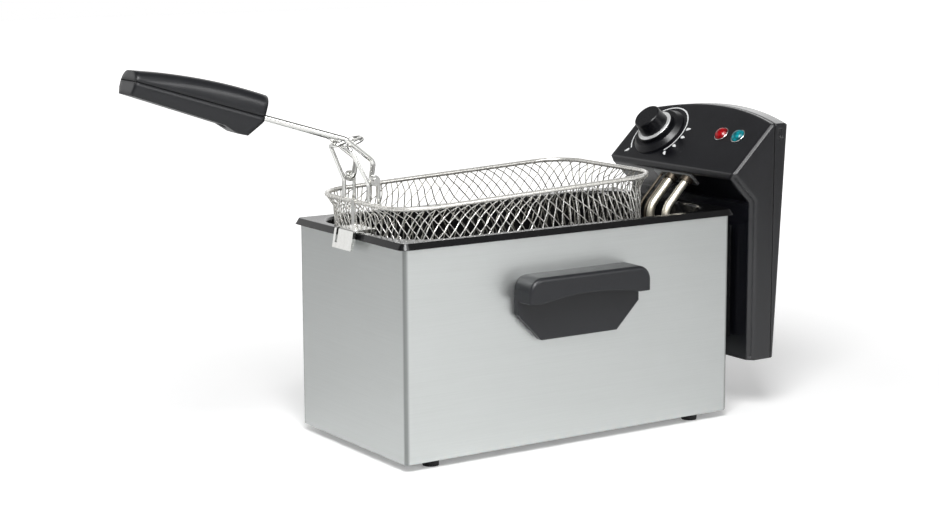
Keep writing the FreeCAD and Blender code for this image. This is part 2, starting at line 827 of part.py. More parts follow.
dress_edges(hook, "Fillet", lambda e: runs_along(e, ACROSS) and near(e.CenterOfMass.z, hook_top)
            and e.CenterOfMass.x < float(hook_outer), Radius=d.hook_sheet)
node(hook, "basket_hook")

# Handle bracket and handle wire, both bent rods. The handle's turned-out ends pivot in the bracket's
# eyes, and its shanks come to rest on the bracket's cradle.
pivot = Vector(float(basket_x + d.pivot_setback), 0, float(basket_z + d.pivot_height))
knee = pivot + Vector(float(d.knee_reach), 0, float(d.knee_rise))
shank_start = pivot + Vector(-float(d.shank_reach), 0, float(d.shank_rise))
slope = math.radians(float(d.handle_slope))
outward = Vector(-math.cos(slope), 0, math.sin(slope))
grip_start = shank_start + outward * float(d.shank_length)
wire_turn = grip_start + outward * (float(d.grip_length) * 0.75)
side_of = float(d.wire_spread)
grip_side = float(d.grip_wire_spread)
wire_size = float(d.handle_wire_size)
bracket_size = float(d.bracket_wire)
leg_side = float(d.bracket_spread)
eye_width = bracket_size * 0.9
pin_end = leg_side + eye_width / 2 + 0.8
half_wire = [
    pivot + ACROSS * pin_end,
    pivot + ACROSS * side_of,
    knee + ACROSS * side_of,
    shank_start + ACROSS * side_of,
    grip_start + ACROSS * grip_side,
    wire_turn + ACROSS * grip_side,
]
turn_radius = grip_side * 0.999
wire_radii = [wire_size * 0.75, wire_size * 1.4, wire_size * 3, wire_size * 8, turn_radius]
handle_wire = bent_rod(half_wire + mirrored(half_wire), wire_radii + wire_radii[::-1], wire_size)

rest_direction = (shank_start - knee).normalize()
rest_normal = rest_direction.cross(ACROSS)
if rest_normal.z > 0:
    rest_normal = -rest_normal
rest_depth = (wire_size + bracket_size) / 2 + float(d.cradle_gap)
cradle = knee + rest_direction * float(d.cradle_run) + rest_normal * rest_depth
leg_foot = Vector(float(basket_x), leg_side, float(basket_z + d.rim_wire / 2))
bow_side = float(d.bracket_bow)
half_bracket = [
    leg_foot,
    Vector(leg_foot.x, leg_side, pivot.z - 2),
    cradle + ACROSS * (side_of + 2),
    cradle + ACROSS * bow_side,
    cradle + Vector(float(d.bow_reach), bow_side, float(d.bow_rise)),
]
bow_radius = bow_side * 0.999
bracket_radii = [bracket_size * 2, bracket_size, bracket_size, bow_radius]
bracket = bent_rod(half_bracket + mirrored(half_bracket), bracket_radii + bracket_radii[::-1], bracket_size)
for side in (-1, 1):
    eye_start = pivot + ACROSS * (side * leg_side - eye_width / 2)
    eye = Part.makeCylinder(wire_size / 2 + bracket_size * 0.65, eye_width, eye_start, ACROSS)
    stay_top = pivot + Vector(float(d.rim_wire), side * leg_side, 0)
    stay = Part.makeCylinder(bracket_size * 0.4, float(d.pivot_height) + 7, stay_top, -UP)
    bracket = bracket.fuse([eye, stay])
    bore = Part.makeCylinder(wire_size / 2 + float(d.slip_fit), eye_width * 3,
                             eye_start - ACROSS * eye_width, ACROSS)
    bracket = bracket.cut(bore)
node(solid("handle_bracket", bracket), "handle_bracket")
node(solid("handle_wire", handle_wire), "handle_wire")


# Grip: two moulded halves that close round the wire, held by a screw from below. Its own frame starts
# at the front end and runs back along -X.
def hold_grip(thing):
    return place(thing, sized(0) + grip_start.x, 0, sized(0) + grip_start.z, ACROSS, d.handle_slope)


grip_half = d.grip_width / 2
channel = solid("wire_channel", bent_rod(half_wire + mirrored(half_wire), wire_radii + wire_radii[::-1],
                                         wire_size + 2 * float(d.slip_fit)))
screw_along = d.grip_length * 0.25
screw_seat_depth = d.grip_belly * 0.65

upper = hold_grip(new_body("grip_upper_blank"))
pad(upper, outline(new_sketch(upper, "XZ"), [
    (-d.grip_length, 0), (0, 0), (0, d.grip_crown, d.grip_crown_radius), (-d.grip_length, d.grip_end_crown)]),
    d.grip_width, symmetric=True)
dress_edges(upper, "Fillet", lambda e: isinstance(e.Curve, Part.Circle), Radius=d.grip_width * 0.32)
pocket(upper, circles(new_sketch(upper, "XY"), [(-screw_along, 0)], d.screw_hole), d.grip_crown / 2,
       reverse=True)
upper_shell = boolean("Cut", "grip_upper_shell", (upper, channel))
node(upper_shell, "grip_upper_shell")

lower = hold_grip(new_body("grip_lower_blank"))
guard_low = d.grip_belly + d.grip_guard
pad(lower, outline(new_sketch(lower, "XZ"), [
    (-d.grip_length, -d.grip_end_belly), (-d.grip_length * 0.26, -d.grip_belly),
    (-d.grip_length * 0.16, -guard_low), (-d.grip_length * 0.07, -guard_low), (0, -d.grip_guard), (0, 0),
    (-d.grip_length, 0)]), d.grip_width, symmetric=True)
for side in (-1, 1):
    tip = (side * grip_half, -d.grip_end_belly + d.grip_bevel)
    flat = (side * (grip_half - d.grip_bevel), -guard_low)
    corner = (side * grip_half, -guard_low)
    corners = [flat, corner, tip] if side > 0 else [corner, flat, tip]
    pocket(lower, outline(new_sketch(lower, "YZ"), corners), d.grip_length)
pocket(lower, circles(new_sketch(lower, "XY"), [(-screw_along, 0)], d.screw_hole), guard_low)
pocket(lower, circles(new_sketch(lower, "XY", -screw_seat_depth), [(-screw_along, 0)], d.screw_head + 0.6),
       guard_low)
lower_shell = boolean("Cut", "grip_lower_shell", (lower, channel))
node(lower_shell, "grip_lower_shell")

grip_screw = turned_body("grip_screw", screw_profile(-screw_seat_depth - d.screw_head_height,
                                                     d.grip_crown / 2 - 0.5))
screw_x = grip_start.x + float(screw_along) * outward.x
screw_z = grip_start.z + float(screw_along) * outward.z
node(place(grip_screw, sized(screw_x), 0, sized(screw_z), ACROSS, d.handle_slope), "grip_screw")

# Control unit: a moulded case with an arched top, bowed at the back, split along a seam into the case
# and its rear cover. Its front wall stands off the housing, and the panel slopes up from the lip.
front_x = half_length + d.control_gap
lip_x = half_length + d.lip_reach
lip_top = d.lip_bottom + d.lip_height
knee_z = d.lip_bottom - (front_x - lip_x) * sine(d.underside_angle) / cosine(d.underside_angle)
case_half = control_width / 2
seam_radius = (case_half * case_half + d.seam_bow * d.seam_bow) / (2 * d.seam_bow)
seam_axis_x = front_x + d.control_depth + d.seam_bow - seam_radius
back_axis_x = seam_axis_x + d.cover_depth
panel_run = sized(90)
panel_rise = panel_run * sine(d.panel_angle)
panel_reach = panel_run * cosine(d.panel_angle)


def case_solid(name, inset, chamfered):
    """The case's outer form, or the same form drawn in by the wall, as one solid."""
    prism = new_body(f"{name}_prism")
    slope = d.panel_angle
    lean = d.underside_angle
    lean_in = inset * (1 - sine(lean)) / cosine(lean)
    top_in = inset * (1 - sine(slope)) / cosine(slope)
    far = lip_x + panel_reach
    pad(prism, outline(new_sketch(prism, "XZ"), [
        (front_x + inset, d.control_base + inset), (far, d.control_base + inset),
        (far, lip_top + panel_rise - inset / cosine(slope)), (lip_x + inset, lip_top - top_in),
        (lip_x + inset, d.lip_bottom + lean_in), (front_x + inset, knee_z + lean_in)]),
        control_width - 2 * inset, symmetric=True)
    if chamfered:
        dress_edges(prism, "Chamfer", lambda e: near(abs(e.CenterOfMass.y), case_half)
                    and e.CenterOfMass.x < float(front_x) + 0.1
                    and float(d.control_base) + 1 < e.CenterOfMass.z < float(d.lip_bottom),
                    Size=d.control_chamfer)
        dress_edges(prism, "Fillet", lambda e: near(abs(e.CenterOfMass.y), case_half)
                    and e.CenterOfMass.z > float(lip_top) + 1 and e.CenterOfMass.x < float(far) - 1,
                    Radius=d.panel_round)
    arch = cylinder(f"{name}_arch", 2 * (d.arch_radius - inset), panel_reach * 2)
    place(arch, front_x - panel_reach, 0, d.arch_top - d.arch_radius, ACROSS, 90)
    back = cylinder(f"{name}_back", 2 * (seam_radius - inset), d.arch_top * 3)
    lean_run = (d.arch_top * 2 - d.control_base) * sine(d.cover_lean) / cosine(d.cover_lean)
    place(back, back_axis_x + lean_run, 0, d.arch_top * 2, ACROSS, 180 + d.cover_lean)
    form = boolean("MultiCommon", name, [prism, arch, back])
    if not chamfered:
        return form
    doc.recompute()
    back_face = max(form.Shape.Faces, key=lambda face: face.CenterOfMass.x)
    return solid(f"{name}_rounded", form.Shape.makeFillet(float(d.cover_round), back_face.Edges))


shell = boolean("Cut", "case_shell", (case_solid("case_outside", sized(0), True),
                                      case_solid("case_inside", d.control_wall, False)))
seam = cylinder("case_seam", 2 * seam_radius, d.arch_top * 2)
place(seam, seam_axis_x)


def on_panel(thing, across, along, lift=0):
    """Stands a piece on the sloped panel: along runs up the slope from the lip, lift stands off it."""
    x = lip_x + along * cosine(d.panel_angle) - lift * sine(d.panel_angle)
    z = lip_top + along * sine(d.panel_angle) + lift * cosine(d.panel_angle)
    return place(thing, x, across, z, -ACROSS, d.panel_angle)


exit_x = lip_x + d.element_exit
exit_z = d.lip_bottom - d.element_exit * sine(d.underside_angle) / cosine(d.underside_angle)


def on_underside(thing, across, lift=0):
    """Stands a piece on the case's slanted underside, where the element's tubes come out."""
    x = exit_x - lift * sine(d.underside_angle)
    z = exit_z - lift * cosine(d.underside_angle)
    return place(thing, x, across, z, ACROSS, 180 + d.underside_angle)


def cover_face_x(across, height):
    """Where the rear cover's outer face lies, at a place across and up it."""
    across = float(sized(across))
    bow = math.sqrt(float(seam_radius) ** 2 - across ** 2)
    lean = math.tan(math.radians(float(d.cover_lean)))
    return sized(float(back_axis_x) + bow + (float(sized(height)) - float(d.control_base)) * lean)


lamp_spots = {"red_lens": -d.lamp_across, "green_lens": -d.lamp_across - d.lamp_spacing}
bush_diameter = d.shaft_diameter + 3
cut_through = d.control_wall * 6
bush_hole = cylinder("bush_hole", bush_diameter + 2 * d.slip_fit, cut_through)
panel_holes = [on_panel(bush_hole, d.knob_across, d.knob_along, -cut_through / 2)]
for lamp_y in lamp_spots.values():
    hole = cylinder("lamp_hole", d.lamp_hole + 2 * d.slip_fit, cut_through)
    panel_holes.append(on_panel(hole, lamp_y, d.lamp_along, -cut_through / 2))
leg_spots = {side: side * d.element_spread - d.element_shift for side in (-1, 1)}
probe_spots = {
    "thermostat_probe": leg_spots[1] + d.probe_spacing,
    "cutout_probe": leg_spots[1] + 2 * d.probe_spacing,
}
tube_spots = [(y, d.element_tube) for y in leg_spots.values()]
tube_spots += [(y, d.probe_tube) for y in probe_spots.values()]
tube_holes = []
for y, tube in tube_spots:
    hole = cylinder("tube_hole", tube + 2 * d.slip_fit, cut_through)
    tube_holes.append(on_underside(hole, y, -cut_through / 2))

boss_size = d.screw_head + 1
cover_screw_y = case_half - d.control_wall - boss_size
cover_spots = [(side * cover_screw_y, height) for side in (-1, 1)
               for height in (d.control_base + boss_size * 2, knee_z)]
boss_length = d.control_depth - d.control_wall
bosses = []
screw_holes = []
seat_cuts = []
cover_screws = []
screw_length = boss_length * 0.8
for y, z in cover_spots:
    seat_x = cover_face_x(y, z) - d.control_wall / 2
    boss = cylinder("cover_boss", boss_size, boss_length)
    bosses.append(place(boss, front_x + d.control_wall / 2, y, z, ACROSS, 90))
    hole = cylinder("cover_screw_hole", d.screw_hole, screw_length + 1)
    screw_holes.append(place(hole, seat_x - screw_length - 1, y, z, ACROSS, 90))
    seat = cylinder("cover_screw_seat", d.screw_head + 0.6, d.control_wall * 2)
    seat_cuts.append(place(seat, seat_x, y, z, ACROSS, 90))
    screw = turned_body("cover_screw", screw_profile(-d.screw_head_height, screw_length))
    cover_screws.append(place(screw, seat_x, y, z, ACROSS, -90))

gland_y = d.gland_across
gland_x = cover_face_x(gland_y, d.gland_height)
reset_x = cover_face_x(-d.reset_across, d.reset_height)
gland_hole = cylinder("gland_hole", d.gland_diameter + 2 * d.slip_fit, cut_through)
place(gland_hole, gland_x - cut_through / 2, gland_y, d.gland_height, ACROSS, 90)
reset_hole = cylinder("reset_hole", d.reset_diameter + 2 * d.slip_fit, cut_through)
place(reset_hole, reset_x - cut_through / 2, -d.reset_across, d.reset_height, ACROSS, 90)
notch = block("cover_notch", d.notch_length, d.control_wall, d.notch_height)
place(notch, front_x + d.control_depth + d.notch_length, -case_half - d.control_wall / 2,
      lip_top + d.notch_lift)

case_parts = boolean("MultiFuse", "case_with_bosses",
                     [boolean("MultiCommon", "case_front", [shell, seam])] + bosses)
case_cuts = boolean("MultiFuse", "case_cuts", panel_holes + tube_holes + screw_holes)
control = boolean("Cut", "control_housing", (case_parts, case_cuts))
node(control, "control_housing")
cover_blank = boolean("Cut", "cover_blank", (shell, seam))
cover_cuts = boolean("MultiFuse", "cover_cuts", screw_holes + seat_cuts + [gland_hole, reset_hole, notch])
cover = boolean("Cut", "rear_cover", (cover_blank, cover_cuts))
node(cover, "rear_cover")
group("cover_screws", cover_screws)

# Slide plate: a flat plate on two webs behind the control unit, which runs in the guide rails.
slide = new_body("slide_plate")
plate_half = rail_spacing / 2 - d.rail_sheet - d.rail_clearance
plate_rear = half_length + d.rail_depth - d.rail_sheet - d.rail_clearance
plate_front = plate_rear - d.control_wall
web_outer = rail_spacing / 2 - 1.5 * d.rail_lip
web_inner = web_outer - d.rail_sheet
plate_low = d.rail_base + d.rail_sheet + d.rest_gap
pad(slide, outline(new_sketch(slide, "XY", plate_low), [
    (plate_front, -plate_half), (plate_rear, -plate_half), (plate_rear, -web_outer), (front_x, -web_outer),
    (front_x, -web_inner), (plate_rear, -web_inner), (plate_rear, web_inner), (front_x, web_inner),
    (front_x, web_outer), (plate_rear, web_outer), (plate_rear, plate_half), (plate_front, plate_half)]),
    d.rail_height - d.rail_sheet)
node(slide, "slide_plate")

# Heating element: one long tube bent into a flat double loop just above the pan's floor, with both legs
# rising along the pan's end wall and turning over its rim into the control unit. Two sensing bulbs lie
# above it on thin capillary tubes, and two sheet clips hold it all together.
underside_way = Vector(math.sin(math.radians(float(d.underside_angle))), 0,
                       math.cos(math.radians(float(d.underside_angle))))
tube_exit = Vector(float(exit_x), 0, float(exit_z))
tube_start = tube_exit + underside_way * (2 * float(d.element_tube))
leg_x = float(half_length - d.element_leg_room)
leg_top = tube_exit - underside_way * ((tube_exit.x - leg_x) / underside_way.x)
loop_z = float(pan_floor + d.element_height)
leg_bottom = Vector(leg_x, 0, loop_z)
element_half_width = half_width - d.element_side_room
outer_y = float(element_half_width)
loop_y = float(d.element_loop)
front_loop = float(half_length - d.element_front_room)
back_loop = float(d.element_back_room - half_length)


def element_route(side):
    """One half of the tube's route, from its end inside the case to the inner hairpin."""
    leg = ACROSS * float(leg_spots[side])
    return [
        tube_start + leg,
        leg_top + leg,
        leg_bottom + leg,
        Vector(front_loop + loop_y, leg.y, loop_z),
        Vector(front_loop, side * outer_y, loop_z),
        Vector(back_loop, side * outer_y, loop_z),
        Vector(back_loop, side * loop_y, loop_z),
        Vector(front_loop - float(d.hairpin_setback), side * loop_y, loop_z),
    ]


loop_radius = (outer_y - loop_y) / 2 * 0.999
bend = float(d.element_bend)
element_radii = [bend, bend * 0.6, bend * 0.75, bend * 0.75, loop_radius, loop_radius, loop_y * 0.999]
element = bent_rod(element_route(1) + element_route(-1)[::-1], element_radii + element_radii[::-1],
                   float(d.element_tube))
node(solid("heating_element", element), "heating_element")

probe_z = loop_z + (float(d.element_tube) + float(d.probe_bulb)) / 2 + 1
bulb_start = front_loop - float(d.probe_setback)
for label, probe_y in probe_spots.items():
    reach = ACROSS * float(probe_y)
    bulb_low = Vector(bulb_start, 0, probe_z) + reach
    capillary = bent_rod([tube_start + reach, leg_top + reach, Vector(leg_x, 0, probe_z) + reach, bulb_low],
                         [bend, bend * 0.6], float(d.probe_tube))
    bulb = Part.makeCylinder(float(d.probe_bulb) / 2, float(d.probe_length), bulb_low, -ALONG)
    node(solid(label, capillary.fuse(bulb)), label)


def element_clip(name, x, bulbs):
    body = new_body(name)
    low = pan_floor + d.element_height - d.element_tube * 0.75
    half = element_half_width + d.element_tube
    high = sized(probe_z) + d.probe_bulb
    pad(body, box_outline(new_sketch(body, "YZ", x), -half, half, low, high), d.clip_sheet)
    runs = [(side * run, loop_z) for side in (-1, 1) for run in (element_half_width, d.element_loop)]
    pocket(body, circles(new_sketch(body, "YZ", x), runs, d.element_tube + 2 * d.slip_fit), d.clip_sheet,
           reverse=True)
    if bulbs:
        spots = [(probe_y, probe_z) for probe_y in probe_spots.values()]
        pocket(body, circles(new_sketch(body, "YZ", x), spots, d.probe_bulb + 2 * d.slip_fit), d.clip_sheet,
               reverse=True)
    return body


group("element_clips", [element_clip("clip_left", sized(bulb_start) - 1.5 * d.probe_length, False),
                        element_clip("clip_right", sized(bulb_start) - 0.4 * d.probe_length, True)])

# Element flange: the plate that clamps the tubes to the case's underside, with a collar on each tube.
flange = new_body("element_flange")
flange_ends = (leg_spots[-1] - d.element_tube, probe_spots["cutout_probe"] + d.element_tube)
pad(flange, box_outline(new_sketch(flange, "XY"), -d.element_tube * 1.2, d.element_exit, *flange_ends),
    d.clip_sheet)
for y, tube in tube_spots:
    pocket(flange, circles(new_sketch(flange, "XY"), [(0, y)], tube + 2 * d.slip_fit), d.clip_sheet,
           reverse=True)
node(on_underside(flange, 0), "element_flange")
collars = []
for leg in leg_spots.values():
    bore = d.element_tube / 2 + d.slip_fit
    outside = d.element_tube * 0.8
    collar = turned_body("tube_collar", [(bore, 0), (outside, 0), (outside, 4), (bore, 4)])
    collars.append(on_underside(collar, leg, d.clip_sheet))
group("tube_collars", collars)

# Dial: the thermostat sits behind the panel, its bush comes through under a fixed bezel, and the knob
# is pushed on to its shaft.
thermostat = new_body("thermostat_body")
half_side = d.thermostat_side / 2
behind = -d.control_wall - d.thermostat_depth
pad(thermostat, rounded_outline(new_sketch(thermostat, "XY", behind), -half_side, half_side,
                                -half_side, half_side, d.rim_wire), d.thermostat_depth)
pad(thermostat, circles(new_sketch(thermostat, "XY", -d.control_wall), [(0, 0)], bush_diameter),
    d.control_wall + d.bezel_height - 1)
pocket(thermostat, circles(new_sketch(thermostat, "XY", d.bezel_height), [(0, 0)],
                           d.shaft_diameter + 2 * d.slip_fit), d.bezel_height + d.thermostat_depth)
node(on_panel(thermostat, d.knob_across, d.knob_along), "thermostat_body")

bezel = turned_body("knob_bezel", [
    (bush_diameter / 2 + d.slip_fit, 0), (d.bezel_diameter / 2, 0), (d.bezel_diameter / 2, 1.2),
    (d.bezel_diameter / 2 - 3.5, d.bezel_height), (bush_diameter / 2 + d.slip_fit, d.bezel_height)])
node(on_panel(bezel, d.knob_across, d.knob_along), "knob_bezel")

knob_low = d.bezel_height + d.knob_clearance
skirt_top = knob_low + 2.5
bore = d.shaft_diameter / 2 + d.slip_fit
shaft_top = d.knob_height - 6
knob = turned_body("temperature_knob", [
    (bore, knob_low), (d.skirt_diameter / 2, knob_low), (d.skirt_diameter / 2, skirt_top),
    (d.knob_diameter / 2, skirt_top), (d.knob_diameter / 2 - 1.2, d.knob_height - 0.7),
    (d.knob_diameter / 2 - 1.9, d.knob_height), (0, d.knob_height), (0, shaft_top), (bore, shaft_top)])
node(on_panel(knob, d.knob_across, d.knob_along), "temperature_knob")
ring = turned_body("knob_ring", [
    (d.knob_diameter / 2 + d.slip_fit, skirt_top), (d.skirt_diameter / 2 - 0.8, skirt_top),
    (d.skirt_diameter / 2 - 1.2, skirt_top + 0.6), (d.knob_diameter / 2 + d.slip_fit, skirt_top + 0.6)])
node(on_panel(ring, d.knob_across, d.knob_along), "knob_ring")
shaft = turned_body("thermostat_shaft", [
    (0, -d.thermostat_depth / 2), (d.shaft_diameter / 2, -d.thermostat_depth / 2),
    (d.shaft_diameter / 2, shaft_top), (0, shaft_top)])
node(on_panel(shaft, d.knob_across, d.knob_along), "thermostat_shaft")

# Lamps: two domed lenses whose stems pass through the panel into holders behind it.
lens_rim = sized(0.8)
dome = d.lens_height - lens_rim
dome_radius = (d.lens_diameter * d.lens_diameter / 4 + dome * dome) / (2 * dome)
holders = []
for label, lamp_y in lamp_spots.items():
    stem = d.lamp_hole / 2
    lens = turned_body(label, [
        (0, -d.control_wall - 3), (stem, -d.control_wall - 3), (stem, 0), (d.lens_diameter / 2, 0),
        (d.lens_diameter / 2, lens_rim, dome_radius), (0, d.lens_height)])
    node(on_panel(lens, lamp_y, d.lamp_along), label)
    holder = turned_body("lamp_holder", [
        (0, -d.control_wall - 14), (stem + 2, -d.control_wall - 14), (stem + 2, -d.control_wall),
        (stem + d.slip_fit, -d.control_wall), (stem + d.slip_fit, -d.control_wall - 3),
        (0, -d.control_wall - 3)])
    holders.append(on_panel(holder, lamp_y, d.lamp_along))
group("lamp_holders", holders)

# Reset button, with the safety cut-out behind it, and the other pieces wired up inside the case.
button_flange = reset_x - d.control_wall * 1.6
button_stem = reset_x + d.reset_proud - button_flange
button = turned_body("reset_button", [
    (0, -2), (d.reset_diameter / 2 + 1.5, -2), (d.reset_diameter / 2 + 1.5, 0), (d.reset_diameter / 2, 0),
    (d.reset_diameter / 2, button_stem), (0, button_stem)])
node(place(button, button_flange, -d.reset_across, d.reset_height, ACROSS, 90), "reset_button")

inside_x = front_x + d.control_wall
cutout = block("thermal_cutout", button_flange - 2 * d.reset_proud - inside_x, d.cutout_side, d.cutout_side)
place(cutout, inside_x, -d.reset_across - d.cutout_side / 2, d.reset_height - d.cutout_side / 2)
node(cutout, "thermal_cutout")
terminals = block("terminal_block", d.terminal_depth, d.terminal_length, d.terminal_height)
place(terminals, inside_x, gland_y - d.terminal_length / 2, d.gland_height + d.terminal_lift)
node(terminals, "terminal_block")
switch = block("safety_switch", d.switch_depth, d.switch_length, d.switch_height)
node(place(switch, inside_x, -d.switch_length / 2, d.control_base + d.control_wall), "safety_switch")

gland_inner = gland_x - d.control_wall * 1.8
gland = turned_body("cord_gland", [
    (d.gland_bore / 2, -3), (d.gland_diameter / 2 + 2, -3), (d.gland_diameter / 2 + 2, 0),
    (d.gland_diameter / 2, 0), (d.gland_diameter / 2, d.gland_reach * 0.4), (d.gland_bore / 2 + 2, d.gland_reach),
    (d.gland_bore / 2, d.gland_reach)])
node(place(gland, gland_inner, gland_y, d.gland_height, ACROSS, 90), "cord_gland")

doc.recompute()
os.makedirs("parts", exist_ok=True)
for thing in doc.Objects:
    if "Invalid" in thing.State or "Error" in thing.State:
        raise RuntimeError(f"{thing.Name} did not build")
for thing in nodes:
    if thing.Shape.isNull() or not thing.Shape.isValid():
        raise RuntimeError(f"{thing.Label} has no valid shape")
    thing.Shape.exportStep(f"parts/{thing.Label}.step")
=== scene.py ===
import math

import bpy
import numpy as np
from mathutils import Matrix, Vector


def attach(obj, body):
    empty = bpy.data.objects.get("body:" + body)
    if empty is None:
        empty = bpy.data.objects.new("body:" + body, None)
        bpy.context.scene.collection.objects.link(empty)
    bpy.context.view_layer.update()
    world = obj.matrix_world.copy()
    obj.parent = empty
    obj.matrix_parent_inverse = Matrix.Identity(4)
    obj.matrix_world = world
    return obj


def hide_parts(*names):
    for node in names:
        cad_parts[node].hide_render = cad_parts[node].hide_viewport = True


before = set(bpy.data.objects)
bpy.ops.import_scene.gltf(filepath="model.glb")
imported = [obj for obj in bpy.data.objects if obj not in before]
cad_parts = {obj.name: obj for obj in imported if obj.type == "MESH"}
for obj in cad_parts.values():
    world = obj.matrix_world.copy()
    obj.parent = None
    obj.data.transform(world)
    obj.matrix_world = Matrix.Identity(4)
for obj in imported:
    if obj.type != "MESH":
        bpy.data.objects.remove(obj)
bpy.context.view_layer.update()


# Housing: one stainless sheet wrapped round the fryer and closed at the back, with its lower edge
# turned in over a flat base plate. The sheet was ground along its length and left satin.
def linear(hex_colour):
    """sRGB hex to linear RGBA: x / 12.92 below 0.04045, and ((x + 0.055) / 1.055) ^ 2.4 above it."""
    channels = [int(hex_colour[i:i + 2], 16) / 255 for i in (1, 3, 5)]
    return tuple(c / 12.92 if c <= 0.04045 else ((c + 0.055) / 1.055) ** 2.4 for c in channels) + (1.0,)


def add_node(tree, kind, inputs, **settings):
    """Adds a node with its settings. An input gets a value, or another node's output to link from."""
    made = tree.nodes.new(kind)
    for name, value in settings.items():
        setattr(made, name, value)
    for socket, value in inputs.items():
        if isinstance(value, bpy.types.NodeSocket):
            tree.links.new(value, made.inputs[socket])
        else:
            made.inputs[socket].default_value = value
    return made


def new_finish(name, metallic=0.0):
    """A named material, its node tree, its shader and its place in the object's own coordinates."""
    finish = bpy.data.materials.new(name)
    finish.use_nodes = True
    tree = finish.node_tree
    shader = tree.nodes["Principled BSDF"]
    shader.inputs["Metallic"].default_value = metallic
    place = add_node(tree, "ShaderNodeTexCoord", {})
    return finish, tree, shader, place.outputs["Object"]


crease_angle = math.radians(26)
shading = bpy.data.node_groups.new("creased_shading", "GeometryNodeTree")
shading.interface.new_socket("Geometry", in_out="INPUT", socket_type="NodeSocketGeometry")
shading.interface.new_socket("Geometry", in_out="OUTPUT", socket_type="NodeSocketGeometry")
entry = add_node(shading, "NodeGroupInput", {})
welded = add_node(shading, "GeometryNodeMergeByDistance", {"Geometry": entry.outputs[0], "Distance": 2e-6})
fold = add_node(shading, "GeometryNodeInputMeshEdgeAngle", {})
crease = add_node(shading, "FunctionNodeCompare", {0: fold.outputs[0], 1: crease_angle},
                  operation="GREATER_THAN")
rounded = add_node(shading, "GeometryNodeSetShadeSmooth", {"Geometry": welded.outputs[0]})
edged = add_node(shading, "GeometryNodeSetShadeSmooth",
                 {"Geometry": rounded.outputs[0], "Selection": crease.outputs[0], "Shade Smooth": False},
                 domain="EDGE")
add_node(shading, "NodeGroupOutput", {0: edged.outputs[0]})


def coat_nodes(finish, names):
    """Gives solid pieces a finish, and smooth shading across every edge that bends less than crease_angle."""
    for name in names.split():
        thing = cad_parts[name]
        thing.data.materials.clear()
        thing.data.materials.append(finish)
        thing.modifiers.new("shading", "NODES").node_group = shading


# Satin stainless: ground scratches run along the sheet, so the gloss breaks into fine level streaks over
# a soft cloudiness. They are drawn 0.6 mm apart and 60 mm long, coarser than the grit, so that they show.
# Along the four upright bends the colour is darkened in a line about 2 mm wide, as painted shade for the dark
# reflection.
steel, tree, shader, place = new_finish("satin_stainless", 1.0)
along_sheet = add_node(tree, "ShaderNodeMapping",
                       {"Vector": place, "Scale": (1 / 0.06, 1 / 0.06, 1 / 0.0006)})
grain = add_node(tree, "ShaderNodeTexNoise", {"Vector": along_sheet.outputs[0], "Scale": 1.0, "Detail": 3.0})
cloud = add_node(tree, "ShaderNodeTexNoise", {"Vector": place, "Scale": 1 / 0.11, "Detail": 2.0})
tone = add_node(tree, "ShaderNodeMix", {0: grain.outputs[0], 6: linear("#bfc2c1"), 7: linear("#cacdcc")},
                data_type="RGBA")
# Painted shade: a line about 2 mm wide along each upright bend, darkened in the colour like a dark
# reflection.
half_length, half_width = 0.1485, 0.076
at_corner = half_length + half_width
bend_from, bend_to = at_corner - 0.0034, at_corner - 0.0016
both_ways = add_node(tree, "ShaderNodeVectorMath", {0: place}, operation="ABSOLUTE")
to_bend = add_node(tree, "ShaderNodeVectorMath", {0: both_ways.outputs[0], 1: (1.0, 1.0, 0.0)},
                   operation="DOT_PRODUCT")
painted_bend_shade = add_node(tree, "ShaderNodeMapRange", {"Value": to_bend.outputs["Value"], "From Min": bend_from,
                                                "From Max": bend_to})
tone = add_node(tree, "ShaderNodeMix", {0: painted_bend_shade.outputs[0], 6: tone.outputs[2], 7: linear("#8e9190")},
                data_type="RGBA")
tree.links.new(tone.outputs[2], shader.inputs["Base Color"])
streak = add_node(tree, "ShaderNodeMapRange", {"Value": grain.outputs[0], "To Min": 0.34, "To Max": 0.43})
haze = add_node(tree, "ShaderNodeMapRange", {"Value": cloud.outputs[0], "To Min": -0.04, "To Max": 0.06})
rough = add_node(tree, "ShaderNodeMath", {0: streak.outputs[0], 1: haze.outputs[0]}, operation="ADD")
tree.links.new(rough.outputs[0], shader.inputs["Roughness"])
edge = add_node(tree, "ShaderNodeBevel", {"Radius": 0.0006}, samples=4)
relief = add_node(tree, "ShaderNodeBump", {"Height": grain.outputs[0], "Strength": 0.03, "Distance": 0.0002,
                                           "Normal": edge.outputs[0]})
tree.links.new(relief.outputs[0], shader.inputs["Normal"])
coat_nodes(steel, "housing_shell base_plate")

# Fasteners and stamped clips: screws under the feet, in the handles, grip and rear cover, rivets in the
# rails, and the sheet clips and flange that hold the heating element. Mild steel, zinc-plated in a barrel.
# Zinc plate: clear and bright with small clouded patches, about 1 mm across.
zinc, tree, shader, place = new_finish("zinc_plated_steel", 1.0)
cloud = add_node(tree, "ShaderNodeTexNoise", {"Vector": place, "Scale": 1 / 0.0011, "Detail": 2.0})
tone = add_node(tree, "ShaderNodeMix", {0: cloud.outputs[0], 6: linear("#a9abad"), 7: linear("#c8c9c8")},
                data_type="RGBA")
tree.links.new(tone.outputs[2], shader.inputs["Base Color"])
dull = add_node(tree, "ShaderNodeMapRange", {"Value": cloud.outputs[0], "To Min": 0.22, "To Max": 0.46})
tree.links.new(dull.outputs[0], shader.inputs["Roughness"])
coat_nodes(zinc, "foot_screws side_handle_screws rail_rivets cover_screws grip_screw element_clips "
                 "element_flange")

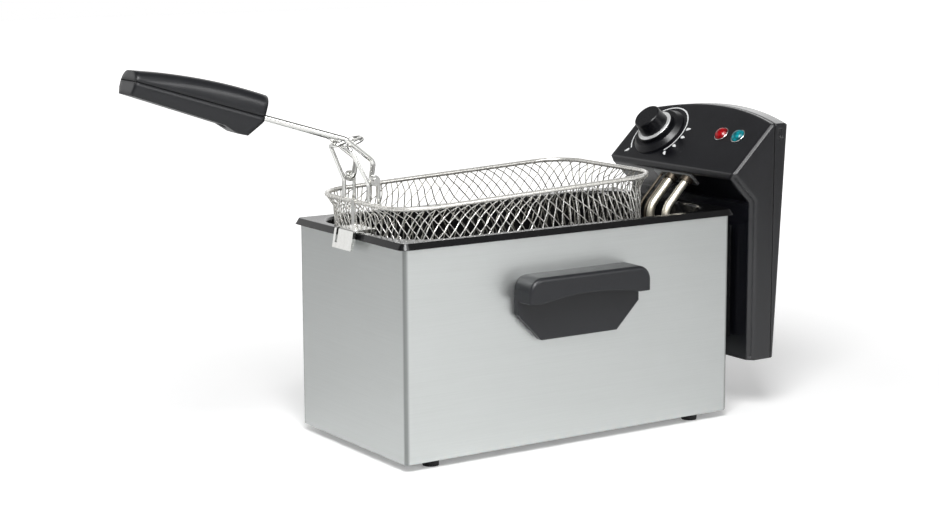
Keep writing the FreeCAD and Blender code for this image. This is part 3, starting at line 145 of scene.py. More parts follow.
# Feet and cord gland: moulded black rubber, screwed up through the base and snapped into the rear cover.
# Nitrile rubber: matt black with a faint grey bloom in patches of about 3 mm.
rubber, tree, shader, place = new_finish("nitrile_rubber")
bloom = add_node(tree, "ShaderNodeTexNoise", {"Vector": place, "Scale": 1 / 0.003, "Detail": 4.0})
tone = add_node(tree, "ShaderNodeMix", {0: bloom.outputs[0], 6: linear("#131314"), 7: linear("#222223")},
                data_type="RGBA")
tree.links.new(tone.outputs[2], shader.inputs["Base Color"])
dull = add_node(tree, "ShaderNodeMapRange", {"Value": bloom.outputs[0], "To Min": 0.6, "To Max": 0.9})
tree.links.new(dull.outputs[0], shader.inputs["Roughness"])
coat_nodes(rubber, "foot_front_left foot_front_right foot_rear_left foot_rear_right cord_gland")

# Carry handles: compression-moulded hoods on a plate, one each side, screwed on from inside the housing.
# Phenolic: black with a spark-eroded grain of about 0.7 mm that softens every highlight, and edges that
# the mould leaves rounded by about two millimetres.
phenolic, tree, shader, place = new_finish("black_phenolic")
shader.inputs["Specular IOR Level"].default_value = 0.42
pores = add_node(tree, "ShaderNodeTexNoise", {"Vector": place, "Scale": 1 / 0.0007, "Detail": 3.0})
tone = add_node(tree, "ShaderNodeMix", {0: pores.outputs[0], 6: linear("#17181b"), 7: linear("#212226")},
                data_type="RGBA")
tree.links.new(tone.outputs[2], shader.inputs["Base Color"])
dull = add_node(tree, "ShaderNodeMapRange", {"Value": pores.outputs[0], "To Min": 0.3, "To Max": 0.44})
tree.links.new(dull.outputs[0], shader.inputs["Roughness"])
edge = add_node(tree, "ShaderNodeBevel", {"Radius": 0.002}, samples=8)
relief = add_node(tree, "ShaderNodeBump", {"Height": pores.outputs[0], "Strength": 0.1, "Distance": 0.0001,
                                           "Normal": edge.outputs[0]})
tree.links.new(relief.outputs[0], shader.inputs["Normal"])
coat_nodes(phenolic, "side_handle_front side_handle_rear")

# Oil pan, and the rails and slide plate that carry the control unit: deep-drawn and pressed sheet steel,
# dipped and fired. The pan's flange lies on the housing's edge with its lip turned down outside.
# Vitreous enamel: glassy black, with the slight orange peel of a fired coat, waves about 7 mm long.
enamel, tree, shader, place = new_finish("black_enamel")
shader.inputs["Specular IOR Level"].default_value = 0.35
ripple = add_node(tree, "ShaderNodeTexNoise", {"Vector": place, "Scale": 1 / 0.007, "Detail": 2.0})
tone = add_node(tree, "ShaderNodeMix", {0: ripple.outputs[0], 6: linear("#0b0b0c"), 7: linear("#131314")},
                data_type="RGBA")
tree.links.new(tone.outputs[2], shader.inputs["Base Color"])
gloss = add_node(tree, "ShaderNodeMapRange", {"Value": ripple.outputs[0], "To Min": 0.12, "To Max": 0.22})
tree.links.new(gloss.outputs[0], shader.inputs["Roughness"])
edge = add_node(tree, "ShaderNodeBevel", {"Radius": 0.0007}, samples=4)
relief = add_node(tree, "ShaderNodeBump", {"Height": ripple.outputs[0], "Strength": 0.05, "Distance": 0.0005,
                                           "Normal": edge.outputs[0]})
tree.links.new(relief.outputs[0], shader.inputs["Normal"])
coat_nodes(enamel, "oil_pan guide_rail_front guide_rail_rear slide_plate")

# Basket handle and its bracket: steel rods bent cold, the bracket spot-welded to the rim, and both plated
# bright. The handle's ends turn in the bracket's eyes, and its shanks rest on the bracket's cradle.
# Bright chrome: a clear mirror with a thin film that blurs it in patches of 4 mm.
chrome, tree, shader, place = new_finish("bright_chrome", 1.0)
film = add_node(tree, "ShaderNodeTexNoise", {"Vector": place, "Scale": 1 / 0.004, "Detail": 3.0})
tone = add_node(tree, "ShaderNodeMix", {0: film.outputs[0], 6: linear("#dcdcd8"), 7: linear("#ececea")},
                data_type="RGBA")
tree.links.new(tone.outputs[2], shader.inputs["Base Color"])
dull = add_node(tree, "ShaderNodeMapRange", {"Value": film.outputs[0], "To Min": 0.06, "To Max": 0.2})
tree.links.new(dull.outputs[0], shader.inputs["Roughness"])
coat_nodes(chrome, "handle_bracket handle_wire")

# Drain hook: a tab pressed from sheet steel, welded to the basket and plated like the bracket. It hangs the
# basket on the pan's edge.
coat_nodes(chrome, "basket_hook")

# Basket rim: a rod bent to a ring and butt-welded, tinned in one dip with the mesh that is folded round it.
# Bright tin: paler and softer than chrome, so the wires stay light against the dark pan, with a grey film
# that lies on them in patches of 3 mm. Painted shade darkens the side of the mesh that looks into the basket.
tin, tree, shader, place = new_finish("tinned_wire", 0.62)
film = add_node(tree, "ShaderNodeTexNoise", {"Vector": place, "Scale": 1 / 0.003, "Detail": 2.0})
tone = add_node(tree, "ShaderNodeMix", {0: film.outputs[0], 6: linear("#eceae4"), 7: linear("#faf9f6")},
                data_type="RGBA")
# Painted shade: each wire is darkened on the side that looks into the basket, as if out of the light.
looks_out = add_node(tree, "ShaderNodeAttribute", {}, attribute_name="looks_out")
lit_outer_side = add_node(tree, "ShaderNodeMapRange", {"Value": looks_out.outputs["Fac"], "From Min": -0.33,
                                               "From Max": 0.17})
tone = add_node(tree, "ShaderNodeMix", {0: lit_outer_side.outputs[0], 6: linear("#84827a"), 7: tone.outputs[2]},
                data_type="RGBA")
tree.links.new(tone.outputs[2], shader.inputs["Base Color"])
dull = add_node(tree, "ShaderNodeMapRange", {"Value": film.outputs[0], "To Min": 0.2, "To Max": 0.36})
tree.links.new(dull.outputs[0], shader.inputs["Roughness"])
coat_nodes(tin, "basket_rim")

# Basket mesh: steel wire woven on the bias and drawn to a tray from one flat sheet, so its diamonds are
# pulled upright at the corners and towards one end of each side. It is folded round the rim at the top.
rim_length, rim_width, rim_corner = 0.232, 0.130, 0.028
basket_start = np.array([-0.1425, 0.0, 0.187])
basket_lean = math.radians(2.5)
mesh_pitch = 0.0092
lay_radius, cross_radius, wire_sides = 0.00050, 0.00036, 5
weave_lift = 0.0004
lean_depth = 0.05
floor_depth, floor_inset = 0.0977, 0.0193
rim_steps, wall_steps, floor_steps = 4001, 72, 70


def basket_place(local):
    """Turns points of the basket's own frame by its lean about Y, and sets them over the pan."""
    x, y, z = local[..., 0], local[..., 1], local[..., 2]
    turned = np.stack([x * math.cos(basket_lean) - z * math.sin(basket_lean), y,
                       x * math.sin(basket_lean) + z * math.cos(basket_lean)], -1)
    return turned + basket_start


run_x, run_y = rim_length - 2 * rim_corner, rim_width - 2 * rim_corner
bend = rim_corner * math.pi / 2
rim_around = 2 * (run_x + run_y) + 4 * bend


def around_rim(u, inset):
    """Point and outward direction at length u round a rounded rectangle that is drawn in by inset:
    four straight runs, joined by quarter circles about the same centres."""
    starts = np.cumsum([0, run_x, bend, run_y, bend, run_x, bend, run_y, bend])
    u = np.mod(u, starts[-1])
    leg = np.clip(np.searchsorted(starts, u, "right") - 1, 0, 7)
    side = leg // 2
    along = u - starts[leg]
    on_bend = leg % 2 == 1
    centres = np.array([[rim_corner, -run_y / 2], [rim_corner + run_x, -run_y / 2],
                        [rim_corner + run_x, run_y / 2], [rim_corner, run_y / 2]])
    angle = (side - 1) * math.pi / 2 + np.where(on_bend, along / rim_corner, 0.0)
    out = np.stack([np.cos(angle), np.sin(angle)], -1)
    way = np.stack([-out[..., 1], out[..., 0]], -1)
    centre = np.where(on_bend[..., None], centres[(side + 1) % 4], centres[side])
    slide = np.where(on_bend, 0.0, along)
    return centre + out * (rim_corner - inset)[..., None] + way * slide[..., None], out


def wall_profile(v):
    """Inset and height at length v down the wall: a flare under the rim, a nearly upright wall, then a
    quarter circle into the floor. Also gives the whole length."""
    tops = np.array([[0.0, -0.0012], [0.005, -0.0088], [0.0076, -0.0860]])
    flare, wall = np.linalg.norm(np.diff(tops, axis=0), axis=1)
    radius = floor_depth + tops[-1, 1]
    turn = np.clip((v - flare - wall) / radius, 0, math.pi / 2)
    lengths = [0, flare, flare + wall]
    inset = np.interp(v, lengths, tops[:, 0]) + radius * (1 - np.cos(turn))
    height = np.interp(v, lengths, tops[:, 1]) - radius * np.sin(turn)
    return inset, height, flare + wall + radius * math.pi / 2


def tubes(paths, normals, radius, sides):
    """Round wires: a circle of the given radius carried along each path, in the plane of the surface's
    normal and the path's side. Paths are (wires, points, 3); the ends are left to the rim and floor."""
    way = np.gradient(paths, axis=1)
    way /= np.linalg.norm(way, axis=-1, keepdims=True)
    across = np.cross(way, normals)
    across /= np.linalg.norm(across, axis=-1, keepdims=True)
    lift = np.cross(across, way)
    turn = np.arange(sides) * 2 * math.pi / sides
    ring = across[:, :, None] * np.cos(turn)[:, None] + lift[:, :, None] * np.sin(turn)[:, None]
    points = (paths[:, :, None] + radius * ring).reshape(-1, 3)
    wires, steps = paths.shape[:2]
    w, s, k = np.meshgrid(np.arange(wires), np.arange(steps - 1), np.arange(sides), indexing="ij")
    base = (w * steps + s) * sides
    following = (k + 1) % sides
    faces = np.stack([base + k, base + sides + k, base + sides + following, base + following], -1)
    return points, faces.reshape(-1, 4)


def new_piece(name, points, faces, finish, body, slot, smooth=True):
    """A mesh object at the origin that rides on a body and wears the given finish. The slot argument is not
    used.
    """
    mesh = bpy.data.meshes.new(name)
    mesh.from_pydata(points.tolist(), [], faces.tolist())
    mesh.polygons.foreach_set("use_smooth", np.full(len(faces), smooth))
    mesh.materials.append(finish)
    mesh.update()
    piece = bpy.data.objects.new(name, mesh)
    bpy.context.scene.collection.objects.link(piece)
    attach(piece, body)
    return piece


def mark_outside(piece, sides):
    """Stores how far each point of a tube looks out of the basket: the sine of its turn round the wire."""
    ring = np.sin(np.arange(sides) * 2 * math.pi / sides)
    looks = piece.data.attributes.new("looks_out", "FLOAT", "POINT")
    looks.data.foreach_set("value", np.tile(ring, len(piece.data.vertices) // sides))


def join_parts(parts):
    """Points and faces of several parts as one."""
    shift = np.cumsum([0] + [len(points) for points, _ in parts])
    return (np.concatenate([points for points, _ in parts]),
            np.concatenate([faces + s for (_, faces), s in zip(parts, shift)]))


wall_length = wall_profile(np.zeros(1))[2]
half_around = rim_around / 2
rim_u = np.linspace(0, rim_around, rim_steps)
v = np.linspace(0, wall_length, wall_steps)
inset, height, _ = wall_profile(v)
slope_in, slope_z = np.gradient(inset, v), np.gradient(height, v)
# Along half the rim, the lengths at which the weave's crowding and lean are given: a long side, a bend, a
# short side and the next bend. The other half repeats them.
stations = [0, 0.012, run_x - 0.105, run_x, run_x + bend,
            half_around - bend, half_around - bend / 2, half_around]


def wire_set(crowding, leans):
    """Where one set of wires lies: their number as a function of the length u round the rim, adding up the
    crowding given at the stations, and how many pitches it changes for each pitch down the wall."""
    along = np.mod(rim_u, half_around)
    crowd = np.interp(along, stations, crowding)
    count = np.concatenate([[0], np.cumsum((crowd[1:] + crowd[:-1]) / 2 * np.diff(rim_u))])
    even = 2 * round(count[-1] / mesh_pitch / 2)
    return count * even / count[-1], np.interp(along, stations, leans) / mesh_pitch, even


def wire_number(wires, u):
    """The number of the wire that passes each point (u, v), with fractions between two wires. The lean
    fades with depth as the hyperbolic tangent of v, both measured in lean_depth."""
    count, lean, _ = wires
    return np.interp(u, rim_u, count) + np.interp(u, rim_u, lean) * lean_depth * np.tanh(v / lean_depth)


lay_wires = wire_set([1.0, 1.0, 1.15, 2.5, 1.5, 0.85, 0.85, 1.0],
                     [1.0, 1.0, 1.0, -1.2, -0.6, 0.4, 0.7, 1.0])
cross_wires = wire_set([1.1, 1.0, 1.0, 0.5, 0.8, 1.0, 1.1, 1.1], [-1.0] * 8)
wire_parts = []
for wires, others, wire_radius, over in ((lay_wires, cross_wires, lay_radius, 1),
                                         (cross_wires, lay_wires, cross_radius, -1)):
    numbers = np.arange(wires[2])
    table = wire_number(wires, rim_u[:, None])
    wrapped = np.mod(numbers[:, None] - table[0], wires[2]) + table[0]
    u = np.stack([np.interp(wrapped[:, i], table[:, i], rim_u) for i in range(len(v))], -1)
    flat, out = around_rim(u, np.broadcast_to(inset, u.shape))
    path = np.concatenate([flat, np.broadcast_to(height, u.shape)[..., None]], -1)
    normal = np.concatenate([out * -slope_z[None, :, None],
                             np.broadcast_to(-slope_in, u.shape)[..., None]], -1)
    wave = over * np.cos(math.pi * (wire_number(others, u) + numbers[:, None]))
    path = path + normal * (weave_lift * wave)[..., None]
    wire_parts.append(tubes(basket_place(path), normal, wire_radius, wire_sides))
basket_weave = new_piece("basket_weave", *join_parts(wire_parts), tin, "basket", "basket_chrome")
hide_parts("basket_mesh")
mark_outside(basket_weave, wire_sides)

# Basket floor: the same tinned wire carried flat across the bottom, clipped where it turns up into the
# walls. Here both sets run at 45 degrees to the sides, over and under each other as they left the loom.
floor_low = np.array([floor_inset, -rim_width / 2 + floor_inset])
floor_high = np.array([rim_length - floor_inset, rim_width / 2 - floor_inset])
shortest_wire = 0.004
floor_parts = []
for hand in (1, -1):
    starts = np.arange(floor_low[0] - (floor_high[1] - floor_low[1]), floor_high[0], mesh_pitch)
    y_low = np.maximum(floor_low[1], floor_low[1] + (floor_low[0] - starts))
    y_high = np.minimum(floor_high[1], floor_low[1] + (floor_high[0] - starts))
    keep = y_high - y_low > shortest_wire
    share = np.linspace(0, 1, floor_steps)
    y = y_low[keep, None] + (y_high - y_low)[keep, None] * share
    x = starts[keep, None] + y - floor_low[1]
    wave = hand * weave_lift * np.cos(2 * math.pi * (y - floor_low[1]) / mesh_pitch)
    path = np.stack([x, hand * y, wave - floor_depth], -1)
    normal = np.broadcast_to(np.array([0.0, 0.0, -1.0]), path.shape)
    floor_parts.append(tubes(basket_place(path), normal, lay_radius, wire_sides))
basket_floor = new_piece("basket_floor", *join_parts(floor_parts), tin, "basket", "basket_chrome")
mark_outside(basket_floor, wire_sides)

# Grip: two moulded halves closed round the handle wire and held by one screw from below.
# Phenolic again, but polished after moulding: deep black, a soft long highlight, and pores of 0.7 mm.
grip_black, tree, shader, place = new_finish("polished_phenolic")
shader.inputs["Specular IOR Level"].default_value = 0.4
pores = add_node(tree, "ShaderNodeTexNoise", {"Vector": place, "Scale": 1 / 0.0007, "Detail": 3.0})
tone = add_node(tree, "ShaderNodeMix", {0: pores.outputs[0], 6: linear("#0f1013"), 7: linear("#17181c")},
                data_type="RGBA")
tree.links.new(tone.outputs[2], shader.inputs["Base Color"])
dull = add_node(tree, "ShaderNodeMapRange", {"Value": pores.outputs[0], "To Min": 0.24, "To Max": 0.38})
tree.links.new(dull.outputs[0], shader.inputs["Roughness"])
edge = add_node(tree, "ShaderNodeBevel", {"Radius": 0.005}, samples=8)
relief = add_node(tree, "ShaderNodeBump", {"Height": pores.outputs[0], "Strength": 0.06, "Distance": 0.0001,
                                           "Normal": edge.outputs[0]})
tree.links.new(relief.outputs[0], shader.inputs["Normal"])
coat_nodes(grip_black, "grip_upper_shell grip_lower_shell")

# Parting lines: the hair-wide gaps where the grip's halves meet and where the control case meets its rear
# cover. Nothing but shadow shows in them, so each is a narrow dark strip laid on the joint.
# Gap shade: the same moulded black without its gloss, a little dusty in patches of 2 mm.
gap_shade, tree, shader, place = new_finish("parting_gap")
shader.inputs["Roughness"].default_value = 0.9
dust = add_node(tree, "ShaderNodeTexNoise", {"Vector": place, "Scale": 1 / 0.002, "Detail": 2.0})
tone = add_node(tree, "ShaderNodeMix", {0: dust.outputs[0], 6: linear("#050505"), 7: linear("#0c0c0c")},
                data_type="RGBA")
tree.links.new(tone.outputs[2], shader.inputs["Base Color"])
shader.inputs["Specular IOR Level"].default_value = 0.1
strip_lift = 0.00004
grip_gap_width, case_gap_width = 0.0005, 0.0006
to_back = np.array([0.0, 1.0, 0.0])


def grid_faces(rows, columns, closed=False):
    """Quads over a grid of points laid out row by row; closed joins the last row to the first."""
    last = rows if closed else rows - 1
    r, c = np.meshgrid(np.arange(last), np.arange(columns - 1), indexing="ij")
    below = (r + 1) % rows
    corners = [r * columns + c, below * columns + c, below * columns + c + 1, r * columns + c + 1]
    return np.stack(corners, -1).reshape(-1, 4)


def strip(path, outward, across, width):
    """A flat strip: each point of the path is lifted a hair along outward and spread along across."""
    spread = np.array([-0.5, 0.5])[:, None] * width
    points = (path + outward * strip_lift)[:, None] + across[:, None] * spread[None]
    return points.reshape(-1, 3), grid_faces(len(path), 2)


def facing(points, faces, outward):
    """The same strip with each face turned to look along outward, given for the first of its points."""
    first, second, third = (points[faces[:, i]] for i in (0, 1, 2))
    look = np.einsum("ij,ij->i", np.cross(second - first, third - first), outward[faces[:, 0] // 2])
    return points, np.where((look < 0)[:, None], faces[:, ::-1], faces)


grip_slope = math.radians(17)
grip_start = np.array([-0.22207, 0.0, 0.25459])
grip_out = np.array([-math.cos(grip_slope), 0.0, math.sin(grip_slope)])
grip_up = np.array([math.sin(grip_slope), 0.0, math.cos(grip_slope)])
grip_side, grip_end = 0.0125, 0.101
grip_gap = []
for start, end, outward in (((0, -grip_side), (grip_end, -grip_side), (0, -1)),
                            ((grip_end, -grip_side), (grip_end, grip_side), (1, 0)),
                            ((0, grip_side), (grip_end, grip_side), (0, 1))):
    share = np.linspace(0, 1, 12)[:, None]
    flat = np.array(start) * (1 - share) + np.array(end) * share
    look = grip_out * outward[0] + to_back * outward[1]
    path = grip_start + flat[:, :1] * grip_out + flat[:, 1:] * to_back
    looks = np.broadcast_to(look, path.shape)
    ups = np.broadcast_to(grip_up, path.shape)
    grip_gap.append(facing(*strip(path, looks, ups, grip_gap_width), looks))
new_piece("grip_parting_line", *join_parts(grip_gap), gap_shade, "handle", "handle_plastic", smooth=False)

# Control case and rear cover: two injection mouldings that close along a bowed seam and are screwed from
# behind. The case carries the sloped panel with the dial and the lamps.
# Gloss ABS: near black, mirror-like on the panel, with slow flow marks 17 mm long and edges rounded 3 mm.
case_abs, tree, shader, place = new_finish("gloss_black_abs")
shader.inputs["Specular IOR Level"].default_value = 0.7
flow = add_node(tree, "ShaderNodeTexNoise", {"Vector": place, "Scale": 1 / 0.017, "Detail": 2.0})
tone = add_node(tree, "ShaderNodeMix", {0: flow.outputs[0], 6: linear("#0a0a0e"), 7: linear("#101116")},
                data_type="RGBA")
tree.links.new(tone.outputs[2], shader.inputs["Base Color"])
gloss = add_node(tree, "ShaderNodeMapRange", {"Value": flow.outputs[0], "To Min": 0.16, "To Max": 0.26})
tree.links.new(gloss.outputs[0], shader.inputs["Roughness"])
edge = add_node(tree, "ShaderNodeBevel", {"Radius": 0.003}, samples=8)
tree.links.new(edge.outputs[0], shader.inputs["Normal"])
coat_nodes(case_abs, "control_housing rear_cover")

case_side, case_low, case_top, arch_radius = 0.079, 0.043, 0.239, 0.360
seam_side, seam_bow, seam_foot = 0.191, 0.0085, 0.0005
seam_radius = (case_side ** 2 + seam_bow ** 2) / (2 * seam_bow)
seam_axis = seam_side + seam_bow - seam_radius
shoulder = case_top - arch_radius + math.sqrt(arch_radius ** 2 - case_side ** 2)
seam_y = np.linspace(-case_side, case_side, 60)
over_arch = np.stack([seam_axis + np.sqrt(seam_radius ** 2 - seam_y ** 2), seam_y,
                      case_top - arch_radius + np.sqrt(arch_radius ** 2 - seam_y ** 2)], -1)
arch_up = np.stack([0 * seam_y, seam_y / arch_radius, np.sqrt(1 - (seam_y / arch_radius) ** 2)], -1)
along_x = np.array([1.0, 0.0, 0.0])
along = np.broadcast_to(along_x, over_arch.shape)
case_gap = [facing(*strip(over_arch, arch_up, along, case_gap_width), arch_up)]
rise = np.linspace(case_low + seam_foot, shoulder, 30)
for side in (-1, 1):
    path = np.stack([np.full_like(rise, seam_side), np.full_like(rise, side * case_side), rise], -1)
    looks = np.broadcast_to(side * to_back, path.shape)
    along = np.broadcast_to(along_x, path.shape)
    case_gap.append(facing(*strip(path, looks, along, case_gap_width), looks))
new_piece("case_parting_line", *join_parts(case_gap), gap_shade, "control", "case_plastic", smooth=False)

# Dial: a moulded knob pushed on the thermostat's shaft, over a bezel that is snapped into the panel.
# Satin ABS: as black as the case but less shiny, with moulding grain of 0.8 mm and edges rounded 0.8 mm.
dial_abs, tree, shader, place = new_finish("satin_black_abs")
shader.inputs["Specular IOR Level"].default_value = 0.35
grain = add_node(tree, "ShaderNodeTexNoise", {"Vector": place, "Scale": 1 / 0.0008, "Detail": 2.0})
tone = add_node(tree, "ShaderNodeMix", {0: grain.outputs[0], 6: linear("#0a0a0d"), 7: linear("#121317")},
                data_type="RGBA")
tree.links.new(tone.outputs[2], shader.inputs["Base Color"])
dull = add_node(tree, "ShaderNodeMapRange", {"Value": grain.outputs[0], "To Min": 0.24, "To Max": 0.34})
tree.links.new(dull.outputs[0], shader.inputs["Roughness"])
edge = add_node(tree, "ShaderNodeBevel", {"Radius": 0.0008}, samples=8)
tree.links.new(edge.outputs[0], shader.inputs["Normal"])
coat_nodes(dial_abs, "knob_bezel temperature_knob")

# Dial ring: an aluminium ring pressed on the knob's foot, turned and left white.
# Turned aluminium: pale and soft, with tool marks in patches of 1 mm.
aluminium, tree, shader, place = new_finish("turned_aluminium", 0.5)
shader.inputs["Roughness"].default_value = 0.35
marks = add_node(tree, "ShaderNodeTexNoise", {"Vector": place, "Scale": 1 / 0.001, "Detail": 2.0})
tone = add_node(tree, "ShaderNodeMix", {0: marks.outputs[0], 6: linear("#eceeee"), 7: linear("#fafafa")},
                data_type="RGBA")
tree.links.new(tone.outputs[2], shader.inputs["Base Color"])
coat_nodes(aluminium, "knob_ring")

# Panel print: a heat scale round the dial, one thin arc with a drop-shaped mark at each setting,
# screen-printed on the panel.
# Screen ink: white and flat, a few hundredths thick, slightly uneven in patches of 1.5 mm.
ink, tree, shader, place = new_finish("white_screen_ink")
shader.inputs["Roughness"].default_value = 0.5
wear = add_node(tree, "ShaderNodeTexNoise", {"Vector": place, "Scale": 1 / 0.0015, "Detail": 2.0})
tone = add_node(tree, "ShaderNodeMix", {0: wear.outputs[0], 6: linear("#d9dbdc"), 7: linear("#f1f2f2")},
                data_type="RGBA")
tree.links.new(tone.outputs[2], shader.inputs["Base Color"])
panel_slope = math.radians(43.5)
panel_start = np.array([0.1495, 0.0, 0.194])
panel_up = np.array([math.cos(panel_slope), 0.0, math.sin(panel_slope)])
panel_out = np.array([-math.sin(panel_slope), 0.0, math.cos(panel_slope)])
dial_across, dial_along = 0.0405, 0.030
scale_low, scale_high = -39, 225
arc_inner, arc_outer = 0.0270, 0.0281
drop_start, drop_length, drop_half = 0.0293, 0.0054, 0.0013
drop_tip = 0.0001


def on_panel(right, up, lift):
    """A point of the panel, given from the dial's centre to the viewer's right, up the slope and off it."""
    return (panel_start + (dial_along + up)[..., None] * panel_up + lift * panel_out
            + (dial_across - right)[..., None] * to_back)


turn, radius = np.meshgrid(np.radians(np.linspace(scale_low, scale_high, 90)),
                           np.array([arc_inner, arc_outer]), indexing="ij")
scale_parts = [(on_panel(radius * np.cos(turn), radius * np.sin(turn), strip_lift).reshape(-1, 3),
                grid_faces(*turn.shape))]
share, breadth = np.meshgrid(np.linspace(0, 1, 14), np.array([-1.0, 1.0]), indexing="ij")
half_drop = drop_half * np.sin(math.pi * share ** 0.6) + drop_tip
reach = drop_start + drop_length * share
for degrees in (scale_high, scale_low, -21, -3, 13):
    angle = math.radians(degrees)
    right = reach * math.cos(angle) - breadth * half_drop * math.sin(angle)
    up = reach * math.sin(angle) + breadth * half_drop * math.cos(angle)
    scale_parts.append((on_panel(right, up, strip_lift).reshape(-1, 3), grid_faces(*share.shape)))
scale_points, scale_faces = join_parts(scale_parts)
scale_looks = np.broadcast_to(panel_out, scale_points.shape)
new_piece("dial_scale", *facing(scale_points, scale_faces, scale_looks), ink, "control", "case_plastic",
          smooth=False)

# Pilot lamps: domed lenses pressed into the panel, red for mains and sea green for heat.
# Moulded acrylic: deep clear colour under a glassy skin, with a facetted back of 2.4 mm prisms that glints.
for node_name, deep, clear in (("red_lens", "#360004", "#be000e"), ("green_lens", "#003a40", "#099aa6")):
    acrylic, tree, shader, place = new_finish(f"{node_name}_acrylic")
    shader.inputs["Roughness"].default_value = 0.08
    shader.inputs["Specular IOR Level"].default_value = 0.35
    facet = add_node(tree, "ShaderNodeTexVoronoi", {"Vector": place, "Scale": 1 / 0.0024})
    tone = add_node(tree, "ShaderNodeMix", {0: facet.outputs[0], 6: linear(clear), 7: linear(deep)},
                    data_type="RGBA")
    tree.links.new(tone.outputs[2], shader.inputs["Base Color"])
    relief = add_node(tree, "ShaderNodeBump", {"Height": facet.outputs[0], "Strength": 0.2,
                                               "Distance": 0.0006})
    tree.links.new(relief.outputs[0], shader.inputs["Normal"])
    coat_nodes(acrylic, node_name)

# Lamp rims: a turned brass ring round each lens, chromed as bright as the handle. It is pressed into the
# panel with the lens, and hides the edge of its hole.
lamp_along, lamp_ring, ring_wire = 0.037, 0.0061, 0.0004
rims = []
for lamp_across in (-0.032, -0.052):
    turn, tube = np.meshgrid(np.arange(48) * math.pi / 24, np.linspace(0, 2 * math.pi, 9), indexing="ij")
    reach = lamp_ring + ring_wire * np.cos(tube)
    right = dial_across - lamp_across + reach * np.cos(turn)
    up = lamp_along - dial_along + reach * np.sin(turn)
    rim_points = on_panel(right, up, 0) + (ring_wire * np.sin(tube))[..., None] * panel_out
    rims.append((rim_points.reshape(-1, 3), grid_faces(*turn.shape, closed=True)))
new_piece("lamp_rims", *join_parts(rims), chrome, "control", "ring_metal")

# Heating element: drawn stainless tube filled with magnesia, bent to loops and pressed into collars where it
# enters the case. The dial's shaft is of the same steel.
# Annealed stainless: bright but straw-tinted by the furnace, in drifts about 30 mm long.
tube_steel, tree, shader, place = new_finish("annealed_tube_steel", 1.0)
heat = add_node(tree, "ShaderNodeTexNoise", {"Vector": place, "Scale": 1 / 0.03, "Detail": 2.0})
tone = add_node(tree, "ShaderNodeMix", {0: heat.outputs[0], 6: linear("#e0d8c2"), 7: linear("#efebdf")},
                data_type="RGBA")
tree.links.new(tone.outputs[2], shader.inputs["Base Color"])
dull = add_node(tree, "ShaderNodeMapRange", {"Value": heat.outputs[0], "To Min": 0.34, "To Max": 0.46})
tree.links.new(dull.outputs[0], shader.inputs["Roughness"])
coat_nodes(tube_steel, "heating_element thermostat_shaft")

# Sensing bulbs and collars: a bulb for the thermostat and one for the cut-out, each on a capillary tube that
# runs down beside the element, and the collars round its legs. Drawn or turned, and left unpolished.
# Browned steel: dull, with paler rubbed patches about 5 mm long. On the bulbs it is darkened by hot oil;
# on the collars its dark is partly painted shade, for the shadow under the case over their tops.
browned_and_shaded, tree, shader, place = new_finish("browned_and_shaded_steel", 1.0)
rubbed = add_node(tree, "ShaderNodeTexNoise", {"Vector": place, "Scale": 1 / 0.005, "Detail": 2.0})
tone = add_node(tree, "ShaderNodeMix", {0: rubbed.outputs[0], 6: linear("#3c362f"), 7: linear("#5f584e")},
                data_type="RGBA")
tree.links.new(tone.outputs[2], shader.inputs["Base Color"])
dull = add_node(tree, "ShaderNodeMapRange", {"Value": rubbed.outputs[0], "To Min": 0.55, "To Max": 0.38})
tree.links.new(dull.outputs[0], shader.inputs["Roughness"])
# On the collars this dark finish is partly painted shade.
coat_nodes(browned_and_shaded, "tube_collars thermostat_probe cutout_probe")

# Pieces inside the case: thermostat, cut-out, terminal block, switch and lamp holders, all closed up
# behind the panel in moulded bodies.
# Polyamide: ivory, satin, with pale specks of glass fibre about 2 mm apart.
polyamide, tree, shader, place = new_finish("ivory_polyamide")
speck = add_node(tree, "ShaderNodeTexNoise", {"Vector": place, "Scale": 1 / 0.002})
tone = add_node(tree, "ShaderNodeMix", {0: speck.outputs[0], 6: linear("#bcb6a4"), 7: linear("#d6d2c6")},
                data_type="RGBA")
tree.links.new(tone.outputs[2], shader.inputs["Base Color"])
dull = add_node(tree, "ShaderNodeMapRange", {"Value": speck.outputs[0], "To Min": 0.45, "To Max": 0.65})
tree.links.new(dull.outputs[0], shader.inputs["Roughness"])
coat_nodes(polyamide, "lamp_holders thermostat_body thermal_cutout terminal_block safety_switch")

# Reset button: a moulded plunger that stands out of the rear cover and springs back.
# Polyamide dyed red, satin, with a dye that settles in specks of 1.4 mm.
reset_red, tree, shader, place = new_finish("red_polyamide")
speck = add_node(tree, "ShaderNodeTexNoise", {"Vector": place, "Scale": 1 / 0.0014})
tone = add_node(tree, "ShaderNodeMix", {0: speck.outputs[0], 6: linear("#8d0f15"), 7: linear("#b0171d")},
                data_type="RGBA")
tree.links.new(tone.outputs[2], shader.inputs["Base Color"])
dull = add_node(tree, "ShaderNodeMapRange", {"Value": speck.outputs[0], "To Min": 0.32, "To Max": 0.5})
tree.links.new(dull.outputs[0], shader.inputs["Roughness"])
coat_nodes(reset_red, "reset_button")

